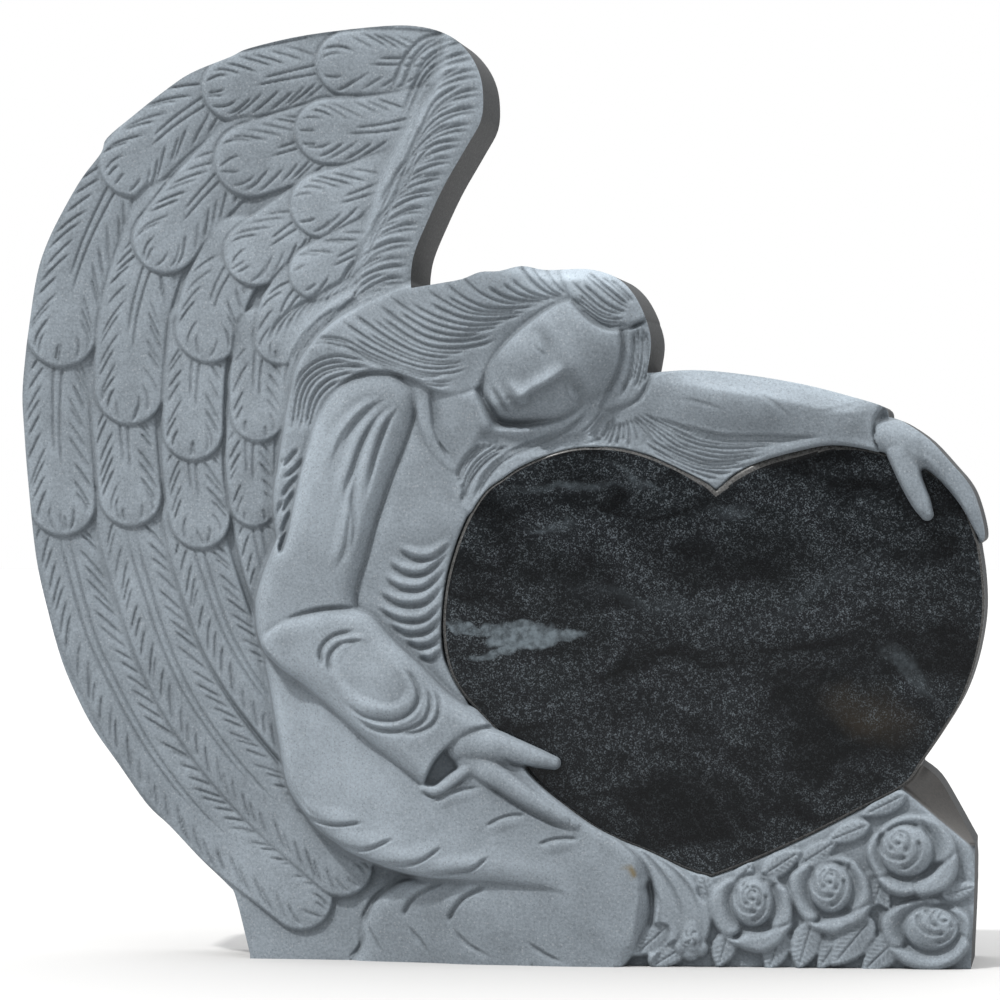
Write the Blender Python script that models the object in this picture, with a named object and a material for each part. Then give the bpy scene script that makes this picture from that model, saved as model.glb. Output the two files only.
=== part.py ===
"""Granite monument: a kneeling angel with one raised wing beside a heart, one carved block.

The front is a relief. It is drawn on a sheet of 1000 x 1000 units, u to the right and v down,
and each place on the sheet has a height off the flat back. The drawing is laid on the block
along the lines of sight of a viewer VIEW_DISTANCE away and VIEW_TURN to the right.
Metres, +Z up, front towards -Y, origin in the middle of the flat underside.
"""
import math

import bmesh
import bpy
import numpy as np
from mathutils import Matrix, Vector
from mathutils.bvhtree import BVHTree

HEIGHT = 0.930                    # underside to the top of the wing
BLOCK_DEPTH = 0.202               # flat back to the most forward carving
SHEET_STEP = 3.0                  # spacing of the modelling grid, drawing units
SMALLEST_CUT = 3.4                # narrowest groove carved, drawing units
FRONT_TRIANGLES = 8300            # triangles kept for the carved front
SHARP_ANGLE = math.radians(40)

TOP_V, UNDERSIDE_V = 27.5, 959.5  # sheet rows of the top of the wing and of the underside
UNIT = HEIGHT / (UNDERSIDE_V - TOP_V)
FULL_RELIEF = 202.0               # height of the most forward carving, drawing units
RELIEF_UNIT = BLOCK_DEPTH / FULL_RELIEF
UNDERSIDE_SNAP = 1.2 * UNIT       # rim points this near the underside are drawn onto it

VIEW_TURN = math.radians(6.3)
VIEW_U, VIEW_V = 500.0, 500.0     # where the viewer's level line of sight meets the sheet
VIEW_DISTANCE = 5512.0 * UNIT
EYE_HEIGHT = (UNDERSIDE_V - VIEW_V) * UNIT
MIDDLE_SHIFT = -108.7 * UNIT      # line of sight from the middle of the block, along X
PLANE_HEIGHT = 100.0              # height off the back where one unit of the sheet is true

COLLECTION = "granite_angel_monument"
NODE = "angel_monument"
STONE_COLOUR = (0.24, 0.28, 0.32, 1.0)
STONE_ROUGHNESS = 0.8

OUTLINE = [
    (251, 992), (251, 992), (250, 954), (250, 954), (236, 898), (228, 885), (200, 858), (170, 826),
    (147, 804), (118, 763), (96, 732), (80, 703), (62, 661), (47, 607), (36, 556), (28, 480),
    (24, 432), (22, 395), (25, 357), (29, 327), (37, 275), (48, 241), (65, 207), (82, 178),
    (101, 153), (107, 138), (134, 115), (163, 92), (191, 73), (230, 57), (250, 48), (307, 35),
    (384, 26), (422, 27), (450, 36), (468, 52), (479, 72), (483, 94), (481, 120), (467, 146),
    (445, 184), (428, 220), (415, 251), (411, 272), (411, 288), (411, 288), (441, 283), (462, 279),
    (480, 272), (499, 271), (522, 266), (546, 270), (586, 269), (611, 275), (627, 286), (639, 303),
    (648, 325), (651, 345), (647, 373), (647, 373), (693, 370), (741, 374), (802, 384), (853, 397),
    (884, 407), (889, 417), (889, 417), (904, 422), (930, 440), (955, 467), (967, 481), (976, 497),
    (983, 521), (985, 538), (979, 544), (979, 544), (984, 582), (984, 619), (976, 662), (962, 700),
    (939, 738), (921, 764), (921, 764), (939, 779), (957, 809), (975, 843), (975, 843), (974, 900),
    (971, 966), (970, 992), (970, 992)]

HEART = [
    (716, 491), (716, 491), (706, 483), (680, 470), (651, 457), (622, 449), (594, 447), (570, 449),
    (545, 456), (520, 467), (502, 479), (486, 491), (470, 515), (457, 546), (447, 583), (443, 624),
    (447, 661), (459, 689), (486, 716), (526, 745), (562, 786), (600, 828), (651, 853), (685, 869),
    (711, 877), (711, 877), (748, 863), (804, 838), (855, 812), (904, 786), (921, 764), (939, 738),
    (964, 700), (980, 662), (990, 619), (990, 582), (984, 545), (968, 510), (945, 482), (915, 463),
    (884, 453), (862, 448), (831, 445), (802, 450), (765, 460), (738, 473)]
HEART_FACE = 166.0
HEART_ROUND = 7.0


def smooth(x):
    x = np.clip(x, 0.0, 1.0)
    return x * x * (3.0 - 2.0 * x)


def curve(points, count=6, closed=False):
    """Smooth curve through points of any width; a point given twice stays a corner."""
    pts = [np.array(p, float) for p in points]
    n, out = len(pts), []
    for i in range(n if closed else n - 1):
        b, c = pts[i], pts[(i + 1) % n]
        if np.allclose(b[:2], c[:2]):
            continue
        a = pts[i - 1] if closed or i else 2 * b - c
        d = pts[(i + 2) % n] if closed or i + 2 < n else 2 * c - b
        for k in range(count):
            t = k / count
            out.append(0.5 * (2 * b + (c - a) * t + (2 * a - 5 * b + 4 * c - d) * t * t
                              + (3 * b - a - 3 * c + d) * t ** 3))
    out.append(out[0] if closed else pts[-1])
    return np.array(out)


def nearest(u, v, path):
    """Distance to a path, the place along it, and the side it lies on."""
    best = np.full(u.shape, 1e12)
    place, side = np.zeros(u.shape), np.zeros(u.shape)
    for i in range(len(path) - 1):
        a = path[i, :2]
        du, dv = path[i + 1, :2] - a
        t = np.clip(((u - a[0]) * du + (v - a[1]) * dv) / (du * du + dv * dv + 1e-9), 0.0, 1.0)
        gu, gv = u - a[0] - t * du, v - a[1] - t * dv
        gap = gu * gu + gv * gv
        near = gap < best
        best = np.where(near, gap, best)
        place = np.where(near, i + t, place)
        side = np.where(near, du * gv - dv * gu, side)
    return np.sqrt(best), place, np.sign(side)


def inside(u, v, path):
    """True where a place lies within a closed path."""
    result = np.zeros(u.shape, bool)
    for i in range(len(path) - 1):
        (au, av), (bu, bv) = path[i, :2], path[i + 1, :2]
        if av == bv:
            continue
        result ^= ((av > v) != (bv > v)) & (u < (bu - au) * (v - av) / (bv - av) + au)
    return result


def spread(u, v, spots, reach):
    """Smooth height through named spots (u, v, height)."""
    total, weight = np.zeros(u.shape), np.zeros(u.shape)
    gap = [((u - su) ** 2 + (v - sv) ** 2) / (2 * reach * reach) for su, sv, _ in spots]
    least = np.minimum.reduce(gap)
    for g, spot in zip(gap, spots):
        w = np.exp(least - g)
        total += w * spot[2]
        weight += w
    return total / weight


class Sheet:
    """Height field on the drawing sheet."""

    def __init__(self, step, fine):
        self.step, self.fine = step, fine
        self.us = np.arange(0.0, 1004.0, step)
        self.vs = np.arange(8.0, 1000.0, step)
        self.u, self.v = np.meshgrid(self.us, self.vs)
        self.h = np.full(self.u.shape, 100.0)

    def window(self, path, pad):
        lo, hi = path[:, :2].min(axis=0) - pad, path[:, :2].max(axis=0) + pad
        i0, i1 = np.searchsorted(self.us, (lo[0], hi[0]))
        j0, j1 = np.searchsorted(self.vs, (lo[1], hi[1]))
        win = (slice(j0, j1), slice(i0, i1))
        return win, self.u[win], self.v[win]

    def signed(self, u, v, path):
        """Distance within a closed path, negative outside."""
        gap = nearest(u, v, path)[0]
        return np.where(inside(u, v, path), gap, -gap)

    def lay(self, win, height, share, over=False):
        old = self.h[win]
        new = np.maximum(old, height) if over else height
        self.h[win] = old + (new - old) * np.clip(share, 0.0, 1.0)

    def patch(self, outline, spots, reach, roll, drop, over=False, soft=0.0,
              fade=None):
        """Area with its own smooth height, rounded off or blended towards its edge.

        Near fade (u, v, reach) the edge runs out into what lies beside it.
        """
        path = curve(outline, closed=True)
        win, u, v = self.window(path, 4)
        within = self.signed(u, v, path)
        turn = np.clip(1.0 - within / roll, 0.0, 1.0)
        if fade:
            drop = drop * smooth(np.hypot(u - fade[0], v - fade[1]) / fade[2])
        height = spread(u, v, spots, reach) - drop * (1.0 - np.sqrt(1.0 - turn * turn))
        share = smooth(within / soft) if soft else within / (2 * self.step) + 0.5
        self.lay(win, height, share, over)

    def ramp(self, outline, upper, lower, high, low):
        """Even slope from one line down to another."""
        path = curve(outline, closed=True)
        win, u, v = self.window(path, 2)
        above = nearest(u, v, curve(upper))[0]
        below = nearest(u, v, curve(lower))[0]
        height = high + (low - high) * above / (above + below + 1e-6)
        self.lay(win, height, self.signed(u, v, path) / self.step + 0.5)

    def limb(self, points, flat=1.0, over=True):
        """Rounded limb through points (u, v, radius, crest height)."""
        path = curve(points)
        win, u, v = self.window(path, path[:, 2].max() + 2)
        gap, place, _ = nearest(u, v, path)
        index = np.arange(len(path))
        radius, crest = np.interp(place, index, path[:, 2]), np.interp(place, index, path[:, 3])
        x = np.clip(gap / radius, 0.0, 1.0)
        height = crest - flat * radius * (1.0 - np.sqrt(1.0 - x * x))
        self.lay(win, height, (radius - gap) / (2 * self.step) + 0.5, over)

    def groove(self, points, width, depth, ends=0.35, steep=0.0):
        """Cut of tapering depth; a negative depth raises a ridge. Steep leans the cut."""
        if width < self.fine:
            return
        path = curve(points, 5)
        win, u, v = self.window(path, width * 2)
        gap, place, side = nearest(u, v, path)
        share = place / (len(path) - 1)
        taper = smooth(np.minimum(share, 1.0 - share) / ends) if ends > 0 else 1.0
        wide = width * (0.55 + 0.45 * taper) * np.where(side * steep > 0, 1.0 + abs(steep), 1.0)
        cut = np.clip(1.0 - (gap / wide) ** 2, 0.0, 1.0) ** 1.5
        self.h[win] -= depth * taper * cut

    def strands(self, guides, count, width, depth, ends=0.2, steep=0.0):
        """Locks or folds drawn between neighbouring guide lines."""
        lines = [curve(g, 6) for g in guides]
        for low, high in zip(lines[:-1], lines[1:]):
            t = np.linspace(0.0, 1.0, 60)[:, None]
            a = np.array([np.interp(t[:, 0] * (len(low) - 1), range(len(low)), low[:, k])
                          for k in (0, 1)]).T
            b = np.array([np.interp(t[:, 0] * (len(high) - 1), range(len(high)), high[:, k])
                          for k in (0, 1)]).T
            for i in range(count):
                s = (i + 0.5) / count
                first = 4 * ((i * 7) % 3)
                line = a + (b - a) * s
                self.groove(line[first:60 - 2 * ((i * 5) % 4):6], width, depth, ends, steep)


class Wing:
    """Raised wing: three rows of overlapping feathers, inner coverts and a maned leading edge."""

    GROUND = [(30, 420, 92), (60, 250, 92), (60, 560, 94), (120, 720, 96), (200, 830, 98),
              (290, 920, 104), (130, 130, 92), (250, 60, 98), (380, 40, 114), (440, 36, 128),
              (456, 80, 140), (430, 150, 142), (400, 220, 144), (370, 290, 144), (200, 200, 99),
              (150, 350, 99), (160, 480, 100), (200, 620, 104), (260, 740, 110), (300, 120, 106),
              (290, 250, 110), (250, 370, 108), (250, 500, 110), (370, 140, 124),
              (320, 290, 122), (300, 420, 124), (290, 560, 126), (340, 850, 116)]
    REACH = 46.0
    # spine from the root to the tip, half breadth, rise of the row
    ROWS = [
        (0.0, [([(58, 500), (63, 530), (76, 582), (93, 640), (118, 692), (143, 738), (172, 780),
                 (210, 824), (258, 864), (295, 893), (326, 919)], 33),
               ([(60, 335), (57, 430), (66, 536)], 34),
               ([(128, 158), (88, 238), (68, 300), (56, 367)], 36),
               ([(225, 88), (165, 130), (110, 188)], 34),
               ([(335, 66), (270, 80), (203, 96)], 33),
               ([(455, 66), (385, 62), (316, 66)], 32)]),
        (5.0, [([(128, 500), (131, 533), (146, 585), (163, 638), (186, 690), (210, 728),
                 (238, 765), (278, 808), (322, 848), (366, 886)], 32),
               ([(121, 385), (127, 460), (134, 527)], 32),
               ([(166, 215), (134, 318), (129, 425)], 35),
               ([(245, 150), (195, 203), (146, 267)], 34),
               ([(345, 132), (290, 148), (216, 172)], 37),
               ([(425, 120), (370, 130), (295, 132)], 33)]),
        (10.0, [([(192, 515), (198, 545), (211, 588), (228, 634), (252, 676), (282, 716),
                  (312, 752), (345, 790)], 30),
                ([(192, 425), (194, 480), (206, 549)], 31),
                ([(200, 325), (194, 390), (193, 461)], 31),
                ([(240, 250), (214, 300), (206, 363)], 34),
                ([(315, 212), (275, 240), (230, 273)], 33),
                ([(400, 180), (350, 198), (291, 213)], 33)]),
        (14.0, [([(254, 505), (262, 550), (276, 596), (300, 640), (330, 690)], 24),
                ([(252, 410), (250, 465), (257, 527)], 25),
                ([(262, 335), (257, 385), (260, 442)], 28),
                ([(312, 275), (285, 312), (280, 365)], 27),
                ([(390, 235), (340, 260), (292, 285)], 28)])]
    EDGE = [(452, 30), (466, 44), (477, 66), (481, 94), (478, 122), (464, 146), (443, 182),
            (427, 216), (414, 248), (410, 272), (410, 292)]
    SWEEP = [(2, 0), (-20, -1), (-40, 6), (-58, 22), (-72, 44), (-84, 72)]

    def carve(self, sheet):
        sheet.h[:] = spread(sheet.u, sheet.v, self.GROUND, self.REACH)
        ground = sheet.h.copy()
        for rise, feathers in self.ROWS:
            for spine, breadth in feathers:
                self.feather(sheet, ground, spine, breadth, rise)
        self.mane(sheet)

    def feather(self, sheet, ground, spine, breadth, rise):
        """Blade with a rounded tip that stands off the one below, a quill and slanting barbs."""
        path = curve(spine, 8)
        length = np.concatenate([[0], np.cumsum(np.hypot(*np.diff(path, axis=0).T))])
        end = length[-1] - breadth
        tip = [np.interp(end, length, path[:, k]) for k in (0, 1)]
        ahead = path[-1] - np.array(tip)
        path = np.vstack([path[length < end], tip])
        length = np.append(length[length < end], end)
        win, u, v = sheet.window(path, breadth + 4)
        gap, place, side = nearest(u, v, path)
        along = np.interp(place, np.arange(len(path)), length)
        x = np.clip(gap / breadth, 0.0, 1.0)
        heading = math.atan2(ahead[1], ahead[0])
        angle = np.abs((np.arctan2(v - tip[1], u - tip[0]) - heading + math.pi)
                       % (2 * math.pi) - math.pi)
        beyond = (place > len(path) - 1.001)
        share = np.clip(along / end, 0.0, 1.0)
        past = np.where(beyond, gap * np.cos(angle), 0.0)
        rising = ((along + past) / (end + breadth)) ** 2
        height = (ground[win] + rise + 1.5 + 6.5 * rising - 5.0 * x ** 4
                  + 1.5 * (1 - x) ** 2)
        if sheet.fine < 2.0:
            reach = along + np.where(beyond, 0.9 * breadth * (math.pi / 2 - angle), 0.0)
            lean = 1.35 * gap * np.where(beyond, np.sin(angle), 1.0)
            phase = (reach - lean) / (12.0 + 0.14 * breadth) + 0.5 * (side > 0)
            part = phase - np.floor(phase)
            odd = np.floor(phase) % 2
            cut = np.where(part < 0.09, part / 0.09, np.clip(1 - (part - 0.09) / 0.22, 0, 1))
            body = smooth((gap - (0.22 + 0.2 * odd) * breadth) / 8.0) * smooth(
                ((0.92 - 0.06 * odd) * breadth - gap) / 7.0)
            height = height - 2.4 * cut ** 1.2 * body * smooth(along / 12.0)
        quill = 4.4 - 2.6 * share
        core = np.clip(1 - ((gap - quill) / 1.9) ** 2, 0, 1) ** 1.5
        if sheet.fine < 2.0:
            height = height - 2.6 * core * smooth((0.86 - share) / 0.12) * smooth(along / 8.0)
            height = height + 0.8 * smooth((quill - gap) / 2.0) * smooth((0.9 - share) / 0.1)
        else:
            height = height + 2.5 * smooth((5.0 - gap) / 4.0) * smooth((0.86 - share) / 0.2)
        sheet.lay(win, height, (breadth - gap) / (2 * sheet.step) + 0.5)

    def mane(self, sheet):
        """Leading edge with wavy locks that fall back over the feathers."""
        sheet.limb([(458, 46, 22, 144), (462, 72, 32, 152), (460, 104, 40, 157), (446, 138, 46, 159),
                    (426, 172, 46, 160), (408, 210, 44, 160), (396, 250, 42, 161),
                    (386, 300, 42, 162)], flat=0.4)
        edge = curve(self.EDGE, 6)
        count = 30 if sheet.fine < 2.0 else 13
        for i in range(count):
            t = i / (count - 1.0)
            at = edge[int(round(t * (len(edge) - 1)))]
            size = 0.62 + 0.42 * smooth(t / 0.45)
            wave = 2.0 * math.sin(2.4 * i)
            line = [(at[0] + size * du, at[1] + size * dv + wave * (k % 2))
                    for k, (du, dv) in enumerate(self.SWEEP)]
            skip = (i * 5) % 3 == 1
            sheet.groove(line[1:] if skip else line, 3.3 if sheet.fine < 2.0 else 5.0,
                         3.2 if sheet.fine < 2.0 else 4.0, 0.3, 0.6)


class Figure:
    """Kneeling figure leaning over the heart."""

    def carve(self, sheet):
        self.dress(sheet)
        self.neck(sheet)
        self.back_hair(sheet)
        self.far_arm(sheet)
        Head().carve(sheet)
        self.hair(sheet)

    def dress(self, sheet):
        wide = 1.0 if sheet.fine < 2.0 else 1.25
        # lower leg, folded under
        sheet.patch([(362, 992), (360, 945), (368, 910), (398, 884), (440, 872), (500, 866),
                     (560, 852), (610, 858), (636, 868), (648, 890), (651, 915), (643, 942),
                     (626, 966), (612, 992)],
                    [(378, 940, 126), (420, 920, 152), (410, 970, 140), (470, 920, 166),
                     (520, 925, 174), (600, 905, 186), (560, 960, 174), (615, 955, 172),
                     (640, 915, 178), (500, 970, 160)], 26, 18, 16)
        for du in (0, 40, 86):
            sheet.groove([(404 + du, 889 + du * 0.06), (382 + du, 903 + du * 0.06),
                          (370 + du, 926), (380 + du, 944), (406 + du, 964)], 6 * wide, 6, 0.3, 0.9)
        # thigh
        sheet.patch([(262, 640), (272, 690), (283, 760), (294, 812), (326, 843), (375, 869),
                     (430, 881), (497, 889), (552, 894), (600, 900), (645, 895), (650, 864),
                     (600, 826), (560, 784), (524, 742), (486, 716), (450, 690), (380, 640),
                     (300, 620)],
                    [(285, 690, 148), (298, 760, 156), (350, 720, 174), (360, 800, 176),
                     (430, 780, 182), (450, 840, 184), (520, 800, 184), (540, 860, 186),
                     (600, 850, 184), (620, 885, 186), (300, 810, 150), (330, 660, 168)],
                    34, 24, 24, fade=(625, 900, 85))
        for line, width, depth in (
                ([(300, 812), (330, 831), (374, 826)], 6, 6),
                ([(336, 848), (375, 857), (412, 842)], 6, 6),
                ([(370, 867), (411, 869), (454, 850)], 6, 6),
                ([(420, 879), (469, 879), (500, 864)], 6, 5),
                ([(434, 809), (462, 796), (494, 792)], 5, 4),
                ([(482, 838), (509, 824), (548, 819)], 5, 4),
                ([(543, 855), (569, 847), (604, 844)], 5, 4),
                ([(288, 772), (298, 798), (314, 814)], 6, 5),
                ([(284, 700), (300, 752), (330, 800)], 7, 2.5)):
            sheet.groove(line, width * wide, depth, 0.4, 0.9)
        # trunk
        sheet.patch([(400, 440), (418, 400), (440, 385), (470, 400), (486, 440), (487, 490),
                     (470, 515), (457, 546), (447, 583), (443, 624), (447, 661), (462, 700),
                     (420, 690), (380, 640), (368, 603), (374, 560), (388, 500)],
                    [(430, 420, 160), (440, 470, 166), (430, 520, 172), (420, 600, 168),
                     (430, 660, 160), (475, 480, 152), (450, 560, 158), (380, 590, 150),
                     (400, 480, 154)], 26, 12, 14)
        for i, (u, v, span, sag) in enumerate((
                (388, 532, 66, 20), (384, 546, 66, 22), (380, 562, 66, 20), (378, 578, 66, 22),
                (374, 592, 68, 22), (374, 606, 68, 22), (384, 622, 60, 20), (394, 640, 50, 18),
                (410, 658, 36, 14))):
            rise = 6 if i % 2 else -4
            sheet.groove([(u, v), (u + 0.22 * span, v + 0.8 * sag), (u + 0.5 * span, v + sag),
                          (u + 0.78 * span, v + 0.6 * sag), (u + span, v - rise)],
                         5.0 * wide, 5.0, 0.3, 0.9)
        # sleeve of the near arm, from the shoulder to the elbow
        sheet.patch([(330, 392), (362, 372), (394, 371), (420, 384), (428, 404), (410, 438),
                     (392, 470), (374, 505), (362, 540), (356, 580), (366, 620), (352, 650),
                     (300, 660), (270, 650), (262, 616), (266, 579), (280, 541),
                     (290, 516), (300, 470), (312, 430)],
                    [(380, 395, 172), (345, 440, 178), (400, 410, 168), (340, 500, 182),
                     (315, 560, 184), (300, 620, 180), (345, 620, 172), (275, 620, 162),
                     (290, 540, 170), (375, 460, 174), (350, 540, 174)], 30, 20, 30)
        for line, width, depth in (
                ([(400, 392), (368, 412), (350, 440), (340, 480)], 5, 3),
                ([(404, 402), (378, 446), (366, 500), (350, 548), (338, 580)], 6, 5),
                ([(412, 400), (392, 450), (378, 505), (362, 560)], 6, 5),
                ([(372, 396), (340, 425), (322, 470), (312, 520)], 6, 2.5),
                ([(386, 398), (360, 436), (346, 490), (334, 540)], 5, 3)):
            sheet.groove(line, width * wide, depth, 0.35, 0.6)
        # forearm with its gathered sleeve
        sheet.patch([(266, 642), (286, 618), (326, 606), (366, 611), (402, 646), (440, 682),
                     (470, 703), (498, 722), (472, 746), (446, 768), (426, 790), (388, 762),
                     (345, 724), (304, 688), (276, 664)],
                    [(296, 646, 182), (340, 650, 192), (380, 680, 199), (430, 722, 199),
                     (460, 742, 194), (315, 680, 178), (400, 740, 188), (360, 625, 180),
                     (440, 690, 186)], 24, 18, 22, fade=(272, 640, 50))
        for grow, first, last, deep in ((46, -10, 130, 6), (46, 160, 285, 6), (59, -35, 105, 6),
                                        (59, 165, 262, 5), (33, 10, 120, 4)):
            arc = [(374 + grow * math.cos(a) + 0.10 * grow, 674 + 0.92 * grow * math.sin(a))
                   for a in np.radians(np.linspace(first, last, 8))]
            sheet.groove(arc, 4.5 * wide, deep, 0.3, -0.8)
        # open cuff, then the hand that steadies the heart
        sheet.patch([(424, 786), (434, 762), (452, 746), (490, 725), (503, 733), (484, 746),
                     (470, 762), (450, 778), (438, 791)],
                    [(440, 770, 168), (485, 732, 178)], 20, 5, 2)
        sheet.limb([(425, 788, 6, 188), (446, 787, 6, 190), (470, 768, 6, 188)], flat=0.8)
        for finger in (
                [(474, 762, 19, 182), (508, 788, 12, 182), (540, 812, 9, 179), (562, 824, 7, 176)],
                [(468, 748, 21, 190), (500, 768, 17, 192), (528, 790, 12.5, 190),
                 (556, 810, 10, 187), (571, 821, 7.5, 183)],
                [(464, 742, 20, 190), (495, 742, 17, 195), (528, 754, 12, 193),
                 (552, 763, 8, 188)]):
            sheet.limb(finger, flat=0.9)

    def neck(self, sheet):
        sheet.patch([(405, 385), (440, 372), (475, 372), (505, 430), (490, 470), (470, 492),
                     (452, 474), (434, 440), (424, 410)],
                    [(430, 395, 162), (460, 410, 160), (470, 460, 156), (490, 430, 154)],
                    24, 8, 0, soft=14)
        sheet.groove([(416, 384), (428, 420), (444, 450), (466, 474)], 5, 4, 0.2)
        sheet.groove([(424, 382), (437, 418), (452, 446), (470, 466)], 5, -4, 0.2)

    def far_arm(self, sheet):
        """Arm laid along the heart with its hanging sleeve, and the hand over the edge."""
        sheet.patch([(618, 396), (648, 372), (693, 368), (741, 372), (802, 382), (853, 395),
                     (886, 406), (889, 426), (886, 458), (860, 450), (831, 446), (800, 451),
                     (765, 461), (738, 474), (716, 492), (690, 476), (651, 458), (622, 450),
                     (600, 448), (590, 430)],
                    [(620, 425, 158), (660, 395, 176), (760, 400, 180), (850, 420, 178),
                     (700, 450, 158), (716, 485, 152), (640, 445, 154), (780, 440, 164),
                     (840, 440, 166), (600, 440, 155)], 22, 8, 0, soft=9)
        sheet.limb([(650, 402, 30, 177), (700, 402, 34, 184), (770, 410, 34, 185),
                    (840, 426, 30, 183), (878, 434, 24, 180)], flat=0.5)
        guides = [[(868, 434), (820, 431), (770, 426), (720, 424), (690, 420), (650, 412),
                   (620, 404)],
                  [(864, 442), (815, 440), (765, 442), (722, 448), (690, 446), (650, 432),
                   (614, 410)],
                  [(800, 451), (765, 458), (738, 470), (716, 486), (690, 470), (655, 452),
                   (600, 440)]]
        sheet.strands(guides, 5 if sheet.fine < 2 else 3, 3.8 if sheet.fine < 2 else 5.5,
                      3.8, 0.25, 0.7)
        sheet.groove([(872, 405), (888, 410), (884, 424), (876, 436), (882, 452)], 6, 14, 0.25)
        for part in (
                [(884, 432, 16, 180), (902, 440, 19, 186), (916, 452, 19, 188)],
                [(904, 456, 15, 188), (912, 480, 12, 190), (924, 504, 10, 188),
                 (930, 514, 8, 184)],
                [(912, 448, 20, 188), (938, 464, 14, 186), (958, 484, 11, 183), (970, 508, 9, 178),
                 (977, 530, 8, 170), (979, 538, 7, 166)],
                [(930, 452, 11, 182), (952, 472, 10, 178), (970, 498, 8, 172)]):
            sheet.limb(part, flat=0.9)
        sheet.groove([(893, 456), (902, 480), (912, 506)], 3.5, 3, 0.3)
        sheet.groove([(930, 468), (950, 486), (965, 508), (973, 530)], 3.0, 3, 0.3)

    def back_hair(self, sheet):
        """Hair that falls behind and below the head."""
        sheet.patch([(455, 470), (485, 425), (530, 420), (575, 400), (600, 330), (630, 300),
                     (652, 320), (652, 352), (648, 378), (660, 392), (690, 415), (660, 440),
                     (622, 450), (594, 447), (560, 450), (520, 467), (486, 491), (466, 512),
                     (452, 500)],
                    [(470, 480, 150), (520, 450, 156), (570, 435, 158), (620, 420, 158),
                     (640, 350, 164), (630, 385, 160), (660, 425, 156)], 26, 8, 0, soft=9)
        sheet.strands([[(606, 402), (560, 418), (515, 440), (484, 462), (470, 488), (462, 520)],
                       [(622, 404), (590, 426), (545, 444), (505, 466), (484, 488), (472, 508)]],
                      5, 4.0, 4, 0.25, 0.7)
        sheet.strands([[(628, 404), (622, 424), (600, 440), (560, 448)],
                       [(676, 410), (664, 430), (650, 446), (640, 452)]], 5, 4.2, 4, 0.25, 0.7)

    def hair(self, sheet):
        """Hair drawn back from the parting, over the shoulder and down the back."""
        top = [(411, 286), (441, 280), (480, 269), (522, 262), (560, 264), (578, 280), (574, 300),
               (550, 303), (518, 320), (487, 342), (472, 360), (464, 381), (441, 387), (420, 382),
               (393, 373), (365, 374), (346, 386), (328, 405), (320, 424), (313, 452), (300, 492),
               (288, 545), (278, 545), (282, 470), (292, 415), (296, 380), (306, 340), (330, 312),
               (372, 296)]
        sheet.patch(top, [(560, 285, 182), (520, 292, 186), (480, 312, 184), (440, 340, 182),
                          (400, 330, 180), (360, 345, 178), (320, 380, 168), (300, 430, 158),
                          (290, 490, 150), (430, 300, 172), (380, 308, 168), (283, 540, 142)],
                    24, 10, 12)
        guides = [
            [(566, 268), (530, 266), (490, 272), (450, 282), (405, 294), (362, 308), (328, 326),
             (308, 356), (298, 400), (288, 450), (282, 510)],
            [(572, 282), (540, 284), (500, 296), (462, 312), (425, 324), (385, 326), (348, 338),
             (322, 366), (306, 405), (294, 452), (285, 520)],
            [(574, 294), (545, 298), (512, 316), (484, 338), (455, 356), (420, 356), (380, 350),
             (346, 364), (322, 392), (306, 436), (290, 528)],
            [(574, 301), (550, 305), (518, 322), (490, 344), (470, 372), (440, 384), (405, 374),
             (368, 370), (340, 388), (318, 424), (298, 500)]]
        sheet.strands(guides, 4 if sheet.fine < 2 else 3, 4.2 if sheet.fine < 2 else 5.5, 4.6,
                      0.12, 0.8)


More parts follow.
